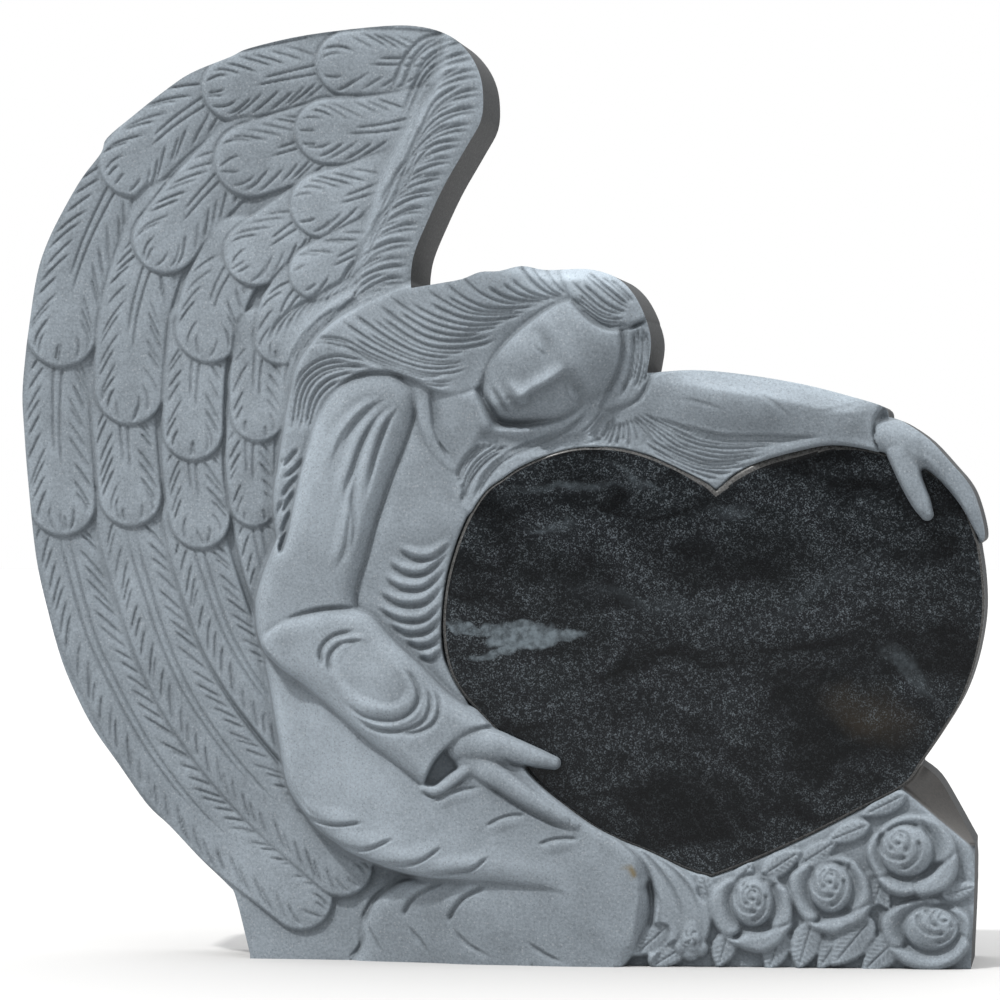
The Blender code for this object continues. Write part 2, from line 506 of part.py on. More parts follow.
class Head:
    """Head laid over on the heart: calm closed eyes, plain regular features.

    The face stands on its own axes: p across, q from chin to crown, both as shares of the
    head's length, and the depth over them is an egg with soft forms added.
    """

    PLACE = (560, 350, 124)       # middle of the head on the sheet, and its height off the back
    LENGTH = 204.0
    ROLL, YAW, PITCH = -57.0, 13.0, 8.0

    @staticmethod
    def lump(p, q, p0, q0, sp, sq, size):
        return size * np.exp(-((p - p0) / sp) ** 2 - ((q - q0) / sq) ** 2)

    def depth(self, p, q):
        wide = 0.345 - 0.10 * smooth((-q - 0.08) / 0.45)
        egg = np.clip(1.0 - (p / wide) ** 2 - ((q + 0.0) / 0.5) ** 2, 0.0, 1.0)
        z = 0.36 * np.sqrt(egg)
        soft = np.minimum(1.0, egg * 4.0)
        for p0, q0, sp, sq, size in (
                (0.0, -0.44, 0.10, 0.08, 0.030), (0.0, 0.09, 0.20, 0.05, 0.014),
                (-0.145, 0.005, 0.075, 0.045, -0.040), (0.145, 0.005, 0.075, 0.045, -0.040),
                (-0.145, -0.005, 0.052, 0.034, 0.028), (0.145, -0.005, 0.052, 0.034, 0.028),
                (-0.19, -0.13, 0.09, 0.08, 0.016), (0.19, -0.13, 0.09, 0.08, 0.016),
                (0.0, -0.205, 0.040, 0.045, 0.062), (0.0, -0.11, 0.032, 0.075, 0.046),
                (0.0, -0.03, 0.030, 0.060, 0.022), (-0.045, -0.215, 0.022, 0.022, 0.022),
                (0.045, -0.215, 0.022, 0.022, 0.022), (0.0, -0.290, 0.090, 0.018, 0.024),
                (0.0, -0.345, 0.075, 0.022, 0.026), (0.0, -0.317, 0.100, 0.008, -0.016),
                (0.0, -0.385, 0.080, 0.018, -0.014), (0.0, -0.30, 0.14, 0.09, 0.014)):
            z = z + soft * self.lump(p, q, p0, q0, sp, sq, size)
        for side in (-1, 1):
            lid = -0.022 + 0.9 * (p - side * 0.145) ** 2 / 0.145
            z = z - 0.010 * soft * np.exp(-((q - lid) / 0.007) ** 2) * smooth(
                (0.075 - np.abs(p - side * 0.145)) / 0.02)
        return z

    def carve(self, sheet):
        p, q = np.meshgrid(np.linspace(-0.36, 0.36, 97), np.linspace(-0.52, 0.52, 137))
        points = np.stack([p, q, self.depth(p, q)], axis=-1).reshape(-1, 3) * self.LENGTH
        turn = (Matrix.Rotation(math.radians(self.ROLL), 3, 'Z')
                @ Matrix.Rotation(math.radians(self.YAW), 3, 'Y')
                @ Matrix.Rotation(math.radians(self.PITCH), 3, 'X'))
        points = points @ np.array(turn).T
        points[:, 1] *= -1.0
        points += np.array(self.PLACE)
        rows, cols = p.shape
        solid = self.depth(p, q) > 0.06
        faces = [(j * cols + i, j * cols + i + 1, (j + 1) * cols + i + 1, (j + 1) * cols + i)
                 for j in range(rows - 1) for i in range(cols - 1)
                 if solid[j:j + 2, i:i + 2].all()]
        tree = BVHTree.FromPolygons([tuple(c) for c in points], faces)
        win, u, v = sheet.window(points[:, :2], 2)
        cast = np.full(u.shape, -1.0)
        for j in range(u.shape[0]):
            for i in range(u.shape[1]):
                hit = tree.ray_cast(Vector((u[j, i], v[j, i], 900.0)), Vector((0, 0, -1)))[0]
                if hit is not None:
                    cast[j, i] = hit.z
        base = self.PLACE[2] + 6.0
        sheet.h[win] = np.where(cast > base, np.maximum(sheet.h[win], cast), sheet.h[win])
        self.crown(sheet)

    def crown(self, sheet):
        """Hair over the top and the far side of the head, drawn back from the parting."""
        sheet.patch([(598, 318), (622, 320), (640, 318), (653, 330), (653, 356), (648, 380),
                     (634, 396), (610, 408), (586, 408), (594, 384), (598, 350)],
                    [(612, 335, 182), (642, 345, 166), (612, 375, 174), (600, 400, 164),
                     (636, 380, 160)], 16, 9, 10)
        sheet.strands([[(645, 328), (650, 350), (643, 378), (618, 400)],
                       [(602, 326), (604, 350), (600, 376), (592, 402)]],
                      6, 3.8, 4.0, 0.25, 0.7)
        sheet.patch([(560, 266), (586, 266), (613, 272), (630, 286), (642, 304), (650, 322),
                     (640, 326), (622, 325), (605, 323), (588, 312), (572, 300)],
                    [(580, 285, 186), (610, 295, 184), (635, 312, 174)], 20, 8, 8)
        sheet.strands([[(574, 290), (590, 276), (612, 278), (630, 292), (644, 314)],
                       [(576, 298), (592, 304), (608, 314), (624, 320), (640, 324)]],
                      5, 4.0, 4.0, 0.2, 0.7)


class Blooms:
    """Four open roses with leaves and a bud over the right end of the base."""

    # middle of the outer petals, heart of the bloom, radius, height, turn
    ROSES = [(751, 912, 753, 897, 40, 180, 0.4), (830, 897, 830, 877, 42, 181, 1.0),
             (912, 858, 898, 842, 45, 181, 1.9), (926, 938, 940, 922, 40, 178, 0.2)]
    LEAVES = [((668, 925), (636, 952), 12, 164), ((735, 930), (712, 962), 14, 168),
              ((800, 925), (806, 962), 14, 168), ((822, 936), (848, 962), 14, 168),
              ((790, 880), (770, 852), 13, 168), ((806, 862), (846, 832), 13, 170),
              ((874, 828), (890, 806), 11, 168), ((720, 890), (735, 866), 12, 166),
              ((876, 905), (884, 935), 13, 166), ((700, 905), (690, 880), 12, 166),
              ((950, 884), (968, 866), 11, 160), ((880, 940), (862, 960), 12, 166)]

    def carve(self, sheet):
        sheet.patch([(610, 992), (625, 966), (645, 940), (652, 900), (640, 866), (652, 854),
                     (684, 868), (711, 879), (748, 865), (804, 840), (855, 814), (905, 786),
                     (934, 812), (969, 842), (980, 900), (976, 992)],
                    [(660, 890, 162), (700, 920, 160), (770, 890, 161), (850, 850, 162),
                     (900, 810, 160), (950, 860, 158), (900, 960, 156), (760, 960, 156),
                     (640, 970, 152)], 30, 5, 5)
        # sloping shoulder of the block beyond the flowers
        sheet.ramp([(902, 788), (902, 788), (921, 758), (921, 758), (944, 772), (966, 806),
                    (988, 850), (988, 850), (970, 845), (970, 845), (934, 815)],
                   [(905, 787), (934, 813), (970, 845)], [(921, 762), (945, 780), (984, 848)],
                   148, 100)
        # fallen sleeve end with the bud
        sheet.limb([(650, 880, 12, 170), (664, 905, 16, 172), (676, 930, 15, 168),
                    (680, 950, 10, 160)], flat=0.8)
        sheet.limb([(664, 878, 8, 172), (684, 892, 12, 176), (697, 912, 15, 178),
                    (697, 936, 14, 176), (693, 947, 9, 170)], flat=0.9)
        sheet.groove([(683, 905), (690, 925), (686, 945)], 3.5, 5, 0.3)
        sheet.groove([(712, 900), (708, 925), (702, 945)], 3.5, 5, 0.3)
        for base, tip, half, height in self.LEAVES:
            self.leaf(sheet, base, tip, half, height)
        for rose in self.ROSES:
            self.rose(sheet, *rose)

    def leaf(self, sheet, base, tip, half, height):
        path = np.array([base, tip], float)
        win, u, v = sheet.window(path, half + 4)
        axis = path[1] - path[0]
        size = float(np.hypot(*axis))
        s = ((u - base[0]) * axis[0] + (v - base[1]) * axis[1]) / size
        t = ((u - base[0]) * -axis[1] + (v - base[1]) * axis[0]) / size
        share = np.clip(s / size, 0.0, 1.0)
        edge = half * np.sin(np.pi * share ** 0.8) ** 0.8
        vein = 2.2 * np.clip(1 - (t / 2.4) ** 2, 0, 1)
        rib = 1.2 * np.clip(np.cos((s - np.abs(t)) * 2 * np.pi / 7.0), 0, 1) if sheet.fine < 2 else 0
        top = height + 3.0 * (1 - (t / half) ** 2) - vein - rib
        sheet.lay(win, top, np.where((s > 0) & (s < size), (edge - np.abs(t)) / sheet.step + 0.5, 0))

    def rose(self, sheet, u0, v0, uc, vc, radius, height, turn):
        """Broad outer petals, each with a rolled rim, closing in on a tight heart."""
        for k, (count, off, size, lift, twist) in enumerate((
                (5, 0.50, 0.56, -15, 0.0), (4, 0.36, 0.50, -8, 0.7), (3, 0.20, 0.38, -2, 0.2),
                (2, 0.07, 0.26, 3, 0.9))):
            share = k / 3.0
            um, vm = u0 + (uc - u0) * share, v0 + (vc - v0) * share
            for i in range(count):
                angle = turn + twist + 2 * math.pi * i / count
                cu, cv = um + off * radius * math.cos(angle), vm + off * radius * math.sin(angle)
                rp = size * radius
                win, u, v = sheet.window(np.array([[cu, cv]]), rp + 4)
                gap = np.hypot(u - cu, v - cv)
                out = ((u - um) * math.cos(angle) + (v - vm) * math.sin(angle)) / radius
                x = np.clip(gap / rp, 0, 1)
                top = (height + lift + 3.5 * smooth((x - 0.55) / 0.3) - 5.0 * smooth(
                    (x - 0.84) / 0.16) - 3.0 * (1 - out))
                sheet.lay(win, top, (rp - gap) / (2 * sheet.step) + 0.5)
        spiral = [(uc + radius * 0.2 * (1 - t / 9) * math.cos(turn + t),
                   vc + radius * 0.2 * (1 - t / 9) * math.sin(turn + t)) for t in range(8)]
        sheet.groove(spiral, 2.6 if sheet.fine < 2 else 3.5, 5, 0.2)


def carve_heart(sheet):
    """Flat heart with a rounded rim; fingers that already stand above it stay."""
    path = curve(HEART, closed=True)
    win, u, v = sheet.window(path, 3)
    within = sheet.signed(u, v, path)
    turn = np.clip(1.0 - within / HEART_ROUND, 0.0, 1.0)
    face = HEART_FACE - HEART_ROUND * (1.0 - np.sqrt(1.0 - turn * turn))
    fingers = sheet.h[win] > HEART_FACE + 4.0
    flesh = ((u > 500) & (u < 590) & (v > 735)) | ((u > 880) & (v < 548))
    sheet.lay(win, np.where(fingers & flesh, sheet.h[win], face), within / sheet.step + 0.5)


def place(u, v, h):
    """Sheet place and height off the back, as a point of the block."""
    back = BLOCK_DEPTH / 2.0
    focal = VIEW_DISTANCE / UNIT
    target_y = back - PLANE_HEIGHT * RELIEF_UNIT
    eye = (MIDDLE_SHIFT + VIEW_DISTANCE * math.sin(VIEW_TURN),
           target_y - VIEW_DISTANCE * math.cos(VIEW_TURN))
    across, down = (u - VIEW_U) / focal, (v - VIEW_V) / focal
    y = back - h * RELIEF_UNIT
    reach = (y - eye[1]) / (math.cos(VIEW_TURN) + across * math.sin(VIEW_TURN))
    x = eye[0] + reach * (-math.sin(VIEW_TURN) + across * math.cos(VIEW_TURN))
    return x, y, EYE_HEIGHT - reach * down


def draw(step, fine):
    sheet = Sheet(step, fine)
    Wing().carve(sheet)
    Figure().carve(sheet)
    Blooms().carve(sheet)
    carve_heart(sheet)
    sheet.h = np.minimum(sheet.h, FULL_RELIEF)
    return sheet


def front_surface(sheet):
    """Open carved surface: a grid trimmed to the outline, its rim drawn onto the outline."""
    path = curve(OUTLINE, 4, closed=True)
    gap, where, _ = nearest(sheet.u, sheet.v, path)
    core = inside(sheet.u, sheet.v, path) & (gap > 0.4 * sheet.step)
    grown = core.copy()
    for j in (-1, 0, 1):
        for i in (-1, 0, 1):
            grown |= np.roll(np.roll(core, j, axis=0), i, axis=1)
    rim = grown & ~core
    index = np.arange(len(path))
    u = np.where(rim, np.interp(where, index, path[:, 0]), sheet.u)
    v = np.where(rim, np.interp(where, index, path[:, 1]), sheet.v)
    x, y, z = place(u, v, sheet.h)
    rows, cols = sheet.u.shape
    bm = bmesh.new()
    bmesh.ops.create_grid(bm, x_segments=cols - 1, y_segments=rows - 1, size=1.0)
    mesh = bpy.data.meshes.new("front")
    bm.to_mesh(mesh)
    bm.free()
    mesh.vertices.foreach_set("co", np.stack([x, y, z], axis=-1).astype(np.float32).ravel())
    bm = bmesh.new()
    bm.from_mesh(mesh)
    cells = core[:-1, :-1] | core[1:, :-1] | core[:-1, 1:] | core[1:, 1:]
    flat = cells.ravel()
    bmesh.ops.delete(bm, geom=[f for f in bm.faces if not flat[f.index]], context='FACES')
    bm.to_mesh(mesh)
    bm.free()
    return mesh


def thin(mesh, triangles):
    """Fewer triangles, most of them kept where the carving turns."""
    helper = bpy.data.objects.new("front_helper", mesh)
    bpy.context.scene.collection.objects.link(helper)
    facets = sum(len(p.vertices) - 2 for p in mesh.polygons)
    decimate = helper.modifiers.new("Decimate", 'DECIMATE')
    decimate.ratio = triangles / facets
    decimate.use_collapse_triangulate = True
    depsgraph = bpy.context.evaluated_depsgraph_get()
    result = bpy.data.meshes.new_from_object(helper.evaluated_get(depsgraph))
    bpy.data.objects.remove(helper)
    return result


def close_block(mesh, name):
    """Walls straight back from the rim, flat back, and a flat underside at z = 0."""
    bm = bmesh.new()
    bm.from_mesh(mesh)
    rim = [e for e in bm.edges if e.is_boundary]
    made = bmesh.ops.extrude_edge_only(bm, edges=rim)["geom"]
    for vert in (g for g in made if isinstance(g, bmesh.types.BMVert)):
        vert.co.y = BLOCK_DEPTH / 2.0
    back = [e for e in bm.edges if e.is_boundary]
    bmesh.ops.triangle_fill(bm, use_beauty=True, use_dissolve=False, edges=back,
                            normal=(0.0, 1.0, 0.0))
    for vert in bm.verts:
        if abs(vert.co.z) < UNDERSIDE_SNAP:
            vert.co.z = 0.0
    geom = bm.verts[:] + bm.edges[:] + bm.faces[:]
    bmesh.ops.bisect_plane(bm, geom=geom, dist=1e-5, plane_co=(0, 0, 0), plane_no=(0, 0, -1),
                           clear_outer=True)
    open_edges = [e for e in bm.edges if e.is_boundary]
    bmesh.ops.triangle_fill(bm, use_beauty=True, use_dissolve=False, edges=open_edges,
                            normal=(0.0, 0.0, -1.0))
    bmesh.ops.triangulate(bm, faces=bm.faces[:])
    bmesh.ops.recalc_face_normals(bm, faces=bm.faces[:])
    result = bpy.data.meshes.new(name)
    bm.to_mesh(result)
    bm.free()
    return result


def stone():
    material = bpy.data.materials.new("grey_granite")
    material.use_nodes = True
    shader = material.node_tree.nodes["Principled BSDF"]
    shader.inputs["Base Color"].default_value = STONE_COLOUR
    shader.inputs["Roughness"].default_value = STONE_ROUGHNESS
    shader.inputs["Metallic"].default_value = 0.0
    return material


def main():
    for old in list(bpy.data.objects):
        bpy.data.objects.remove(old)
    group = bpy.data.collections.new(COLLECTION)
    bpy.context.scene.collection.children.link(group)
    sheet = draw(SHEET_STEP, SMALLEST_CUT)
    mesh = close_block(thin(front_surface(sheet), FRONT_TRIANGLES), NODE)
    mesh.materials.append(stone())
    mesh.shade_smooth()
    mesh.set_sharp_from_angle(angle=SHARP_ANGLE)
    block = bpy.data.objects.new(NODE, mesh)
    group.objects.link(block)


if __name__ == "__main__":
    main()
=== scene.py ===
"""Granite monument: a kneeling winged figure leans over a polished heart, with roses at its foot.

The frosted front is a relief. It is drawn on a sheet of 1000 x 1000 units, u to the right and v
down, as heights off the flat back, and is laid on the block along the lines of sight of a viewer
a few metres away. The heart is a polished piece set flush in the relief.
"""
from __future__ import annotations

import logging
import math
import random
from dataclasses import dataclass
from enum import Enum
from typing import ClassVar, Sequence

import bmesh
import bpy
import numpy as np
from mathutils import Matrix, Vector
from mathutils.bvhtree import BVHTree


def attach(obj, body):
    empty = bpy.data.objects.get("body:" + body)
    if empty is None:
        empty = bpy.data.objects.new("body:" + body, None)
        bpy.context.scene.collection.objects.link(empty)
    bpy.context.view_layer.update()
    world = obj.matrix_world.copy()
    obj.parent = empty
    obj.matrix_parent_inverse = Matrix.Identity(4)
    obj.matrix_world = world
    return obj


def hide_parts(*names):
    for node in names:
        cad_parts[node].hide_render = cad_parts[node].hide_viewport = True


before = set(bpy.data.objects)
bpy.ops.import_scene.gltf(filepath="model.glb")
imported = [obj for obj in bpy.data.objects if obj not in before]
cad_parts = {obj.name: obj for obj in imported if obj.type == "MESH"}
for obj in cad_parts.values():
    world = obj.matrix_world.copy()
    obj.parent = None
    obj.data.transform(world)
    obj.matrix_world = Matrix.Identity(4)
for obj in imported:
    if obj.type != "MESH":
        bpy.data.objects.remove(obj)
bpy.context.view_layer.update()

LOG = logging.getLogger("monument")
NODE = "angel_monument"
FAR = 1000.0

Array = np.ndarray
Point = tuple[float, ...]
Line = Sequence[Point]
Lines = Sequence[Line]
Window = tuple[slice, slice]


def smooth(x: Array | float) -> Array | float:
    """Ease from 0 to 1.

    Args:
        x: Share of the way, of any size.

    Returns:
        The eased share, between 0 and 1.
    """
    x = np.clip(x, 0.0, 1.0)
    return x * x * (3.0 - 2.0 * x)


def curve(points: Line, count: int = 6, closed: bool = False) -> Array:
    """Draw a smooth curve through points; a point given twice stays a corner.

    Args:
        points: Points with any number of values each.
        count: Steps between two points.
        closed: Whether the last point runs on to the first.

    Returns:
        One row for each place on the curve.
    """
    pts = [np.array(p, float) for p in points]
    n, out = len(pts), []
    for i in range(n if closed else n - 1):
        b, c = pts[i], pts[(i + 1) % n]
        if np.allclose(b[:2], c[:2]):
            continue
        a = pts[i - 1] if closed or i else 2 * b - c
        d = pts[(i + 2) % n] if closed or i + 2 < n else 2 * c - b
        for k in range(count):
            t = k / count
            out.append(0.5 * (2 * b + (c - a) * t + (2 * a - 5 * b + 4 * c - d) * t * t
                              + (3 * b - a - 3 * c + d) * t ** 3))
    out.append(out[0] if closed else pts[-1])
    return np.array(out)


def resample(path: Array, count: int) -> Array:
    """Read a path again at even steps.

    Args:
        path: Places on the path.
        count: How many places to return.

    Returns:
        The u and v of each place.
    """
    run = np.concatenate([[0.0], np.cumsum(np.hypot(*np.diff(path[:, :2], axis=0).T))])
    t = np.linspace(0.0, run[-1], count)
    return np.stack([np.interp(t, run, path[:, k]) for k in (0, 1)], axis=-1)


def nearest(u: Array, v: Array, path: Array) -> tuple[Array, Array, Array]:
    """Measure to a path.

    Args:
        u: Places across the sheet.
        v: Places down the sheet.
        path: Places on the path.

    Returns:
        The distance to the path, the place along it and the side of it, for each place.
    """
    best = np.full(u.shape, 1e12)
    place, side = np.zeros(u.shape), np.zeros(u.shape)
    for i in range(len(path) - 1):
        a = path[i, :2]
        du, dv = path[i + 1, :2] - a
        t = np.clip(((u - a[0]) * du + (v - a[1]) * dv) / (du * du + dv * dv + 1e-9), 0.0, 1.0)
        gu, gv = u - a[0] - t * du, v - a[1] - t * dv
        gap = gu * gu + gv * gv
        near = gap < best
        best = np.where(near, gap, best)
        place = np.where(near, i + t, place)
        side = np.where(near, du * gv - dv * gu, side)
    return np.sqrt(best), place, np.sign(side)


def inside(u: Array, v: Array, path: Array) -> Array:
    """Tell which places lie within a closed path.

    Args:
        u: Places across the sheet.
        v: Places down the sheet.
        path: Closed path.

    Returns:
        True for each place within it.
    """
    result = np.zeros(u.shape, bool)
    for i in range(len(path) - 1):
        (au, av), (bu, bv) = path[i, :2], path[i + 1, :2]
        if av == bv:
            continue
        result ^= ((av > v) != (bv > v)) & (u < (bu - au) * (v - av) / (bv - av) + au)
    return result


def spread(u: Array, v: Array, spots: Line, reach: float) -> Array:
    """Blend heights given at spots into one soft surface.

    Args:
        u: Places across the sheet.
        v: Places down the sheet.
        spots: Spots as (u, v, height).
        reach: How far a spot carries.

    Returns:
        The height at each place.
    """
    total, weight = np.zeros(u.shape), np.zeros(u.shape)
    gap = [((u - su) ** 2 + (v - sv) ** 2) / (2 * reach * reach) for su, sv, _ in spots]
    least = np.minimum.reduce(gap)
    for g, spot in zip(gap, spots):
        w = np.exp(least - g)
        total += w * spot[2]
        weight += w
    return total / weight


def blurred(field: Array, sigma: float) -> Array:
    """Blur a field evenly.

    Args:
        field: Values on a grid.
        sigma: Width of the blur in grid steps.

    Returns:
        The blurred values.
    """
    half = max(1, int(3 * sigma))
    kernel = np.exp(-0.5 * (np.arange(-half, half + 1) / sigma) ** 2)
    kernel /= kernel.sum()
    for axis in (0, 1):
        pad = [(half, half) if k == axis else (0, 0) for k in (0, 1)]
        wide = np.pad(field, pad, mode="edge")
        size = field.shape[axis]
        field = sum(w * np.take(wide, range(i, i + size), axis=axis) for i, w in enumerate(kernel))
    return field


@dataclass(frozen=True)
class Setting:
    """How the drawing sheet lies on the block, and where its viewer stands. Metres and units."""

    height: float = 0.930
    depth: float = 0.202
    top_v: float = 27.5
    underside_v: float = 959.5
    full_relief: float = 202.0
    turn: float = math.radians(6.3)
    middle: float = 500.0
    reach_units: float = 5512.0
    shift_units: float = -108.7
    plane_height: float = 100.0

    @property
    def unit(self) -> float:
        """Metres in one unit of the sheet."""
        return self.height / (self.underside_v - self.top_v)

    @property
    def relief_unit(self) -> float:
        """Metres in one unit of height off the back."""
        return self.depth / self.full_relief

    @property
    def back(self) -> float:
        """Y of the flat back."""
        return self.depth / 2.0

    @property
    def target(self) -> Vector:
        """Point of the block that the viewer looks at."""
        return Vector((self.shift_units * self.unit, self.back - self.plane_height * self.relief_unit,
                       (self.underside_v - self.middle) * self.unit))

    @property
    def eye(self) -> Vector:
        """Place of the viewer."""
        away = self.reach_units * self.unit
        return self.target + Vector((away * math.sin(self.turn), -away * math.cos(self.turn), 0.0))

    def place(self, u: Array, v: Array, h: Array) -> tuple[Array, Array, Array]:
        """Turn places on the sheet into points of the block.

        Args:
            u: Places across the sheet.
            v: Places down the sheet.
            h: Heights off the flat back.

        Returns:
            X, Y and Z in metres.
        """
        across, down = (u - self.middle) / self.reach_units, (v - self.middle) / self.reach_units
        y = self.back - h * self.relief_unit
        reach = (y - self.eye.y) / (math.cos(self.turn) + across * math.sin(self.turn))
        x = self.eye.x + reach * (-math.sin(self.turn) + across * math.cos(self.turn))
        return x, y, self.eye.z - reach * down


class Sheet:
    """Drawing sheet with the height of the form, the fine cuts in it and its stains."""

    RIGHT: ClassVar[float] = 1004.0
    TOP: ClassVar[float] = 8.0
    BOTTOM: ClassVar[float] = 1000.0
    GROUND: ClassVar[float] = 100.0
    SOFTNESS: ClassVar[float] = 0.9
    STRAND_STEPS: ClassVar[int] = 49
    STRAND_STRIDE: ClassVar[int] = 6
    LATE_START: ClassVar[int] = 11
    EARLY_END: ClassVar[int] = 7

    def __init__(self, step: float) -> None:
        """Lay out an even sheet.

        Args:
            step: Distance between two places, in units.
        """
        self.step = step
        self.us = np.arange(0.0, self.RIGHT, step)
        self.vs = np.arange(self.TOP, self.BOTTOM, step)
        self.u, self.v = np.meshgrid(self.us, self.vs)
        self.form = np.full(self.u.shape, self.GROUND)
        self.cuts = np.zeros(self.u.shape)
        self.stain = np.zeros(self.u.shape)
        self.gloss = np.zeros(self.u.shape)

    @property
    def height(self) -> Array:
        """Height of the carved surface: the softened form less its fine cuts."""
        return blurred(self.form, self.SOFTNESS / self.step) - self.cuts

    def window(self, path: Array, pad: float) -> tuple[Window, Array, Array]:
        """Find the part of the sheet around a path.

        Args:
            path: Places on the path.
            pad: Margin around it.

        Returns:
            The window and its u and v.
        """
        lo, hi = path[:, :2].min(axis=0) - pad, path[:, :2].max(axis=0) + pad
        i0, i1 = np.searchsorted(self.us, (lo[0], hi[0]))
        j0, j1 = np.searchsorted(self.vs, (lo[1], hi[1]))
        win = (slice(j0, j1), slice(i0, i1))
        return win, self.u[win], self.v[win]

    @staticmethod
    def signed(u: Array, v: Array, path: Array) -> Array:
        """Distance within a closed path, negative outside it.

        Args:
            u: Places across the sheet.
            v: Places down the sheet.
            path: Closed path.

        Returns:
            The distance for each place.
        """
        gap = nearest(u, v, path)[0]
        return np.where(inside(u, v, path), gap, -gap)

    def sampled(self, field: Array, u: Array, v: Array) -> Array:
        """Read a field between the places of the sheet.

        Args:
            field: Values at the places of the sheet.
            u: Places across the sheet.
            v: Places down the sheet.

        Returns:
            The values there.
        """
        rows, cols = field.shape
        x = np.clip((u - self.u[0, 0]) / self.step, 0, cols - 1.001)
        y = np.clip((v - self.v[0, 0]) / self.step, 0, rows - 1.001)
        j, i = x.astype(int), y.astype(int)
        x, y = x - j, y - i
        top = field[i, j] * (1 - x) + field[i, j + 1] * x
        return top * (1 - y) + (field[i + 1, j] * (1 - x) + field[i + 1, j + 1] * x) * y

    def lay(self, win: Window, height: Array, share: Array, over: bool = False) -> None:
        """Lay a surface over what is there, and with it hide the cuts below.

        Args:
            win: Part of the sheet.
            height: New height.
            share: How much of it shows, from 0 to 1.
            over: Keep what already stands higher.
        """
        share = np.clip(share, 0.0, 1.0)
        old = self.form[win]
        new = np.maximum(old, height) if over else height
        if over:
            share = share * (height > old)
        self.form[win] = old + (new - old) * share
        self.cuts[win] *= 1.0 - share

    def patch(self, outline: Line, spots: Line, reach: float, roll: float, drop: float,
              soft: float = 0.0, fade: Point | None = None) -> None:
        """Lay an area with its own soft height.

        Args:
            outline: Closed outline.
            spots: Spots as (u, v, height).
            reach: How far a spot carries.
            roll: Width over which the edge rounds off.
            drop: How far the edge drops.
            soft: Width over which the area blends into what lies around it.
            fade: Place (u, v, reach) where the drop runs out.
        """
        path = curve(outline, closed=True)
        win, u, v = self.window(path, 4)
        within = self.signed(u, v, path)
        turn = np.clip(1.0 - within / roll, 0.0, 1.0)
        fall = drop * smooth(np.hypot(u - fade[0], v - fade[1]) / fade[2]) if fade else drop
        height = spread(u, v, spots, reach) - fall * (1.0 - np.sqrt(1.0 - turn * turn))
        share = smooth(within / soft) if soft else within / (2 * self.step) + 0.5
        self.lay(win, height, share)

    def ramp(self, outline: Line, upper: Line, lower: Line, high: float, low: float) -> None:
        """Lay an even slope from one line down to another.

        Args:
            outline: Closed outline.
            upper: Line along the top of the slope.
            lower: Line along its foot.
            high: Height along the upper line.
            low: Height along the lower line.
        """
        path = curve(outline, closed=True)
        win, u, v = self.window(path, 2)
        above, below = nearest(u, v, curve(upper))[0], nearest(u, v, curve(lower))[0]
        height = high + (low - high) * above / (above + below + 1e-6)
        share = self.signed(u, v, path) / self.step + 0.5
        self.lay(win, height, share)
        self.gloss[win] = np.maximum(self.gloss[win], np.clip(share, 0.0, 1.0))

    def limb(self, points: Line, flat: float = 1.0, soft: float = 0.0) -> None:
        """Lay a rounded limb where it stands over what is there.

        Args:
            points: Points (u, v, radius, crest height).
            flat: How round it is, 1 for a half circle.
            soft: Width over which its edge blends in.
        """
        path = curve(points)
        win, u, v = self.window(path, path[:, 2].max() + 2)
        gap, place, _ = nearest(u, v, path)
        index = np.arange(len(path))
        radius, crest = np.interp(place, index, path[:, 2]), np.interp(place, index, path[:, 3])
        x = np.clip(gap / radius, 0.0, 1.0)
        height = crest - flat * radius * (1.0 - np.sqrt(1.0 - x * x))
        share = smooth((radius - gap) / soft) if soft else (radius - gap) / (2 * self.step) + 0.5
        self.lay(win, height, share, over=True)

    def swell(self, points: Line, width: float, rise: float, lean: float = 0.0) -> None:
        """Raise a soft fold, or with a negative rise press a soft hollow.

        Args:
            points: Line of the fold.
            width: Half width.
            rise: Height at the middle.
            lean: Share by which the side to the right of the line is wider.
        """
        path = curve(points, 5)
        win, u, v = self.window(path, width * 2)
        gap, place, side = nearest(u, v, path)
        share = place / (len(path) - 1)
        taper = smooth(np.minimum(share, 1.0 - share) / 0.35)
        wide = width * (0.6 + 0.4 * taper) * np.where(side * lean > 0, 1.0 + abs(lean), 1.0)
        self.form[win] += rise * taper * np.clip(1.0 - (gap / wide) ** 2, 0.0, 1.0) ** 1.5

    def stroke(self, points: Line, width: float, depth: float, ends: float = 0.3,
               lean: float = 0.0) -> None:
        """Cut a fine tapering stroke.

        Args:
            points: Line of the stroke.
            width: Half width.
            depth: Depth at the middle.
            ends: Share of the length over which each end runs out.
            lean: Share by which the side to the right of the line slopes more gently.
        """
        path = curve(points, 5)
        win, u, v = self.window(path, width * 2.2)
        if min(u.shape) == 0:
            return
        gap, place, side = nearest(u, v, path)
        share = place / (len(path) - 1)
        taper = smooth(np.minimum(share, 1.0 - share) / ends)
        wide = width * (0.6 + 0.4 * taper) * np.where(side * lean > 0, 1.0 + abs(lean), 1.0)
        cut = depth * taper * np.clip(1.0 - gap / wide, 0.0, 1.0) ** 1.1
        self.cuts[win] = np.maximum(self.cuts[win], cut)

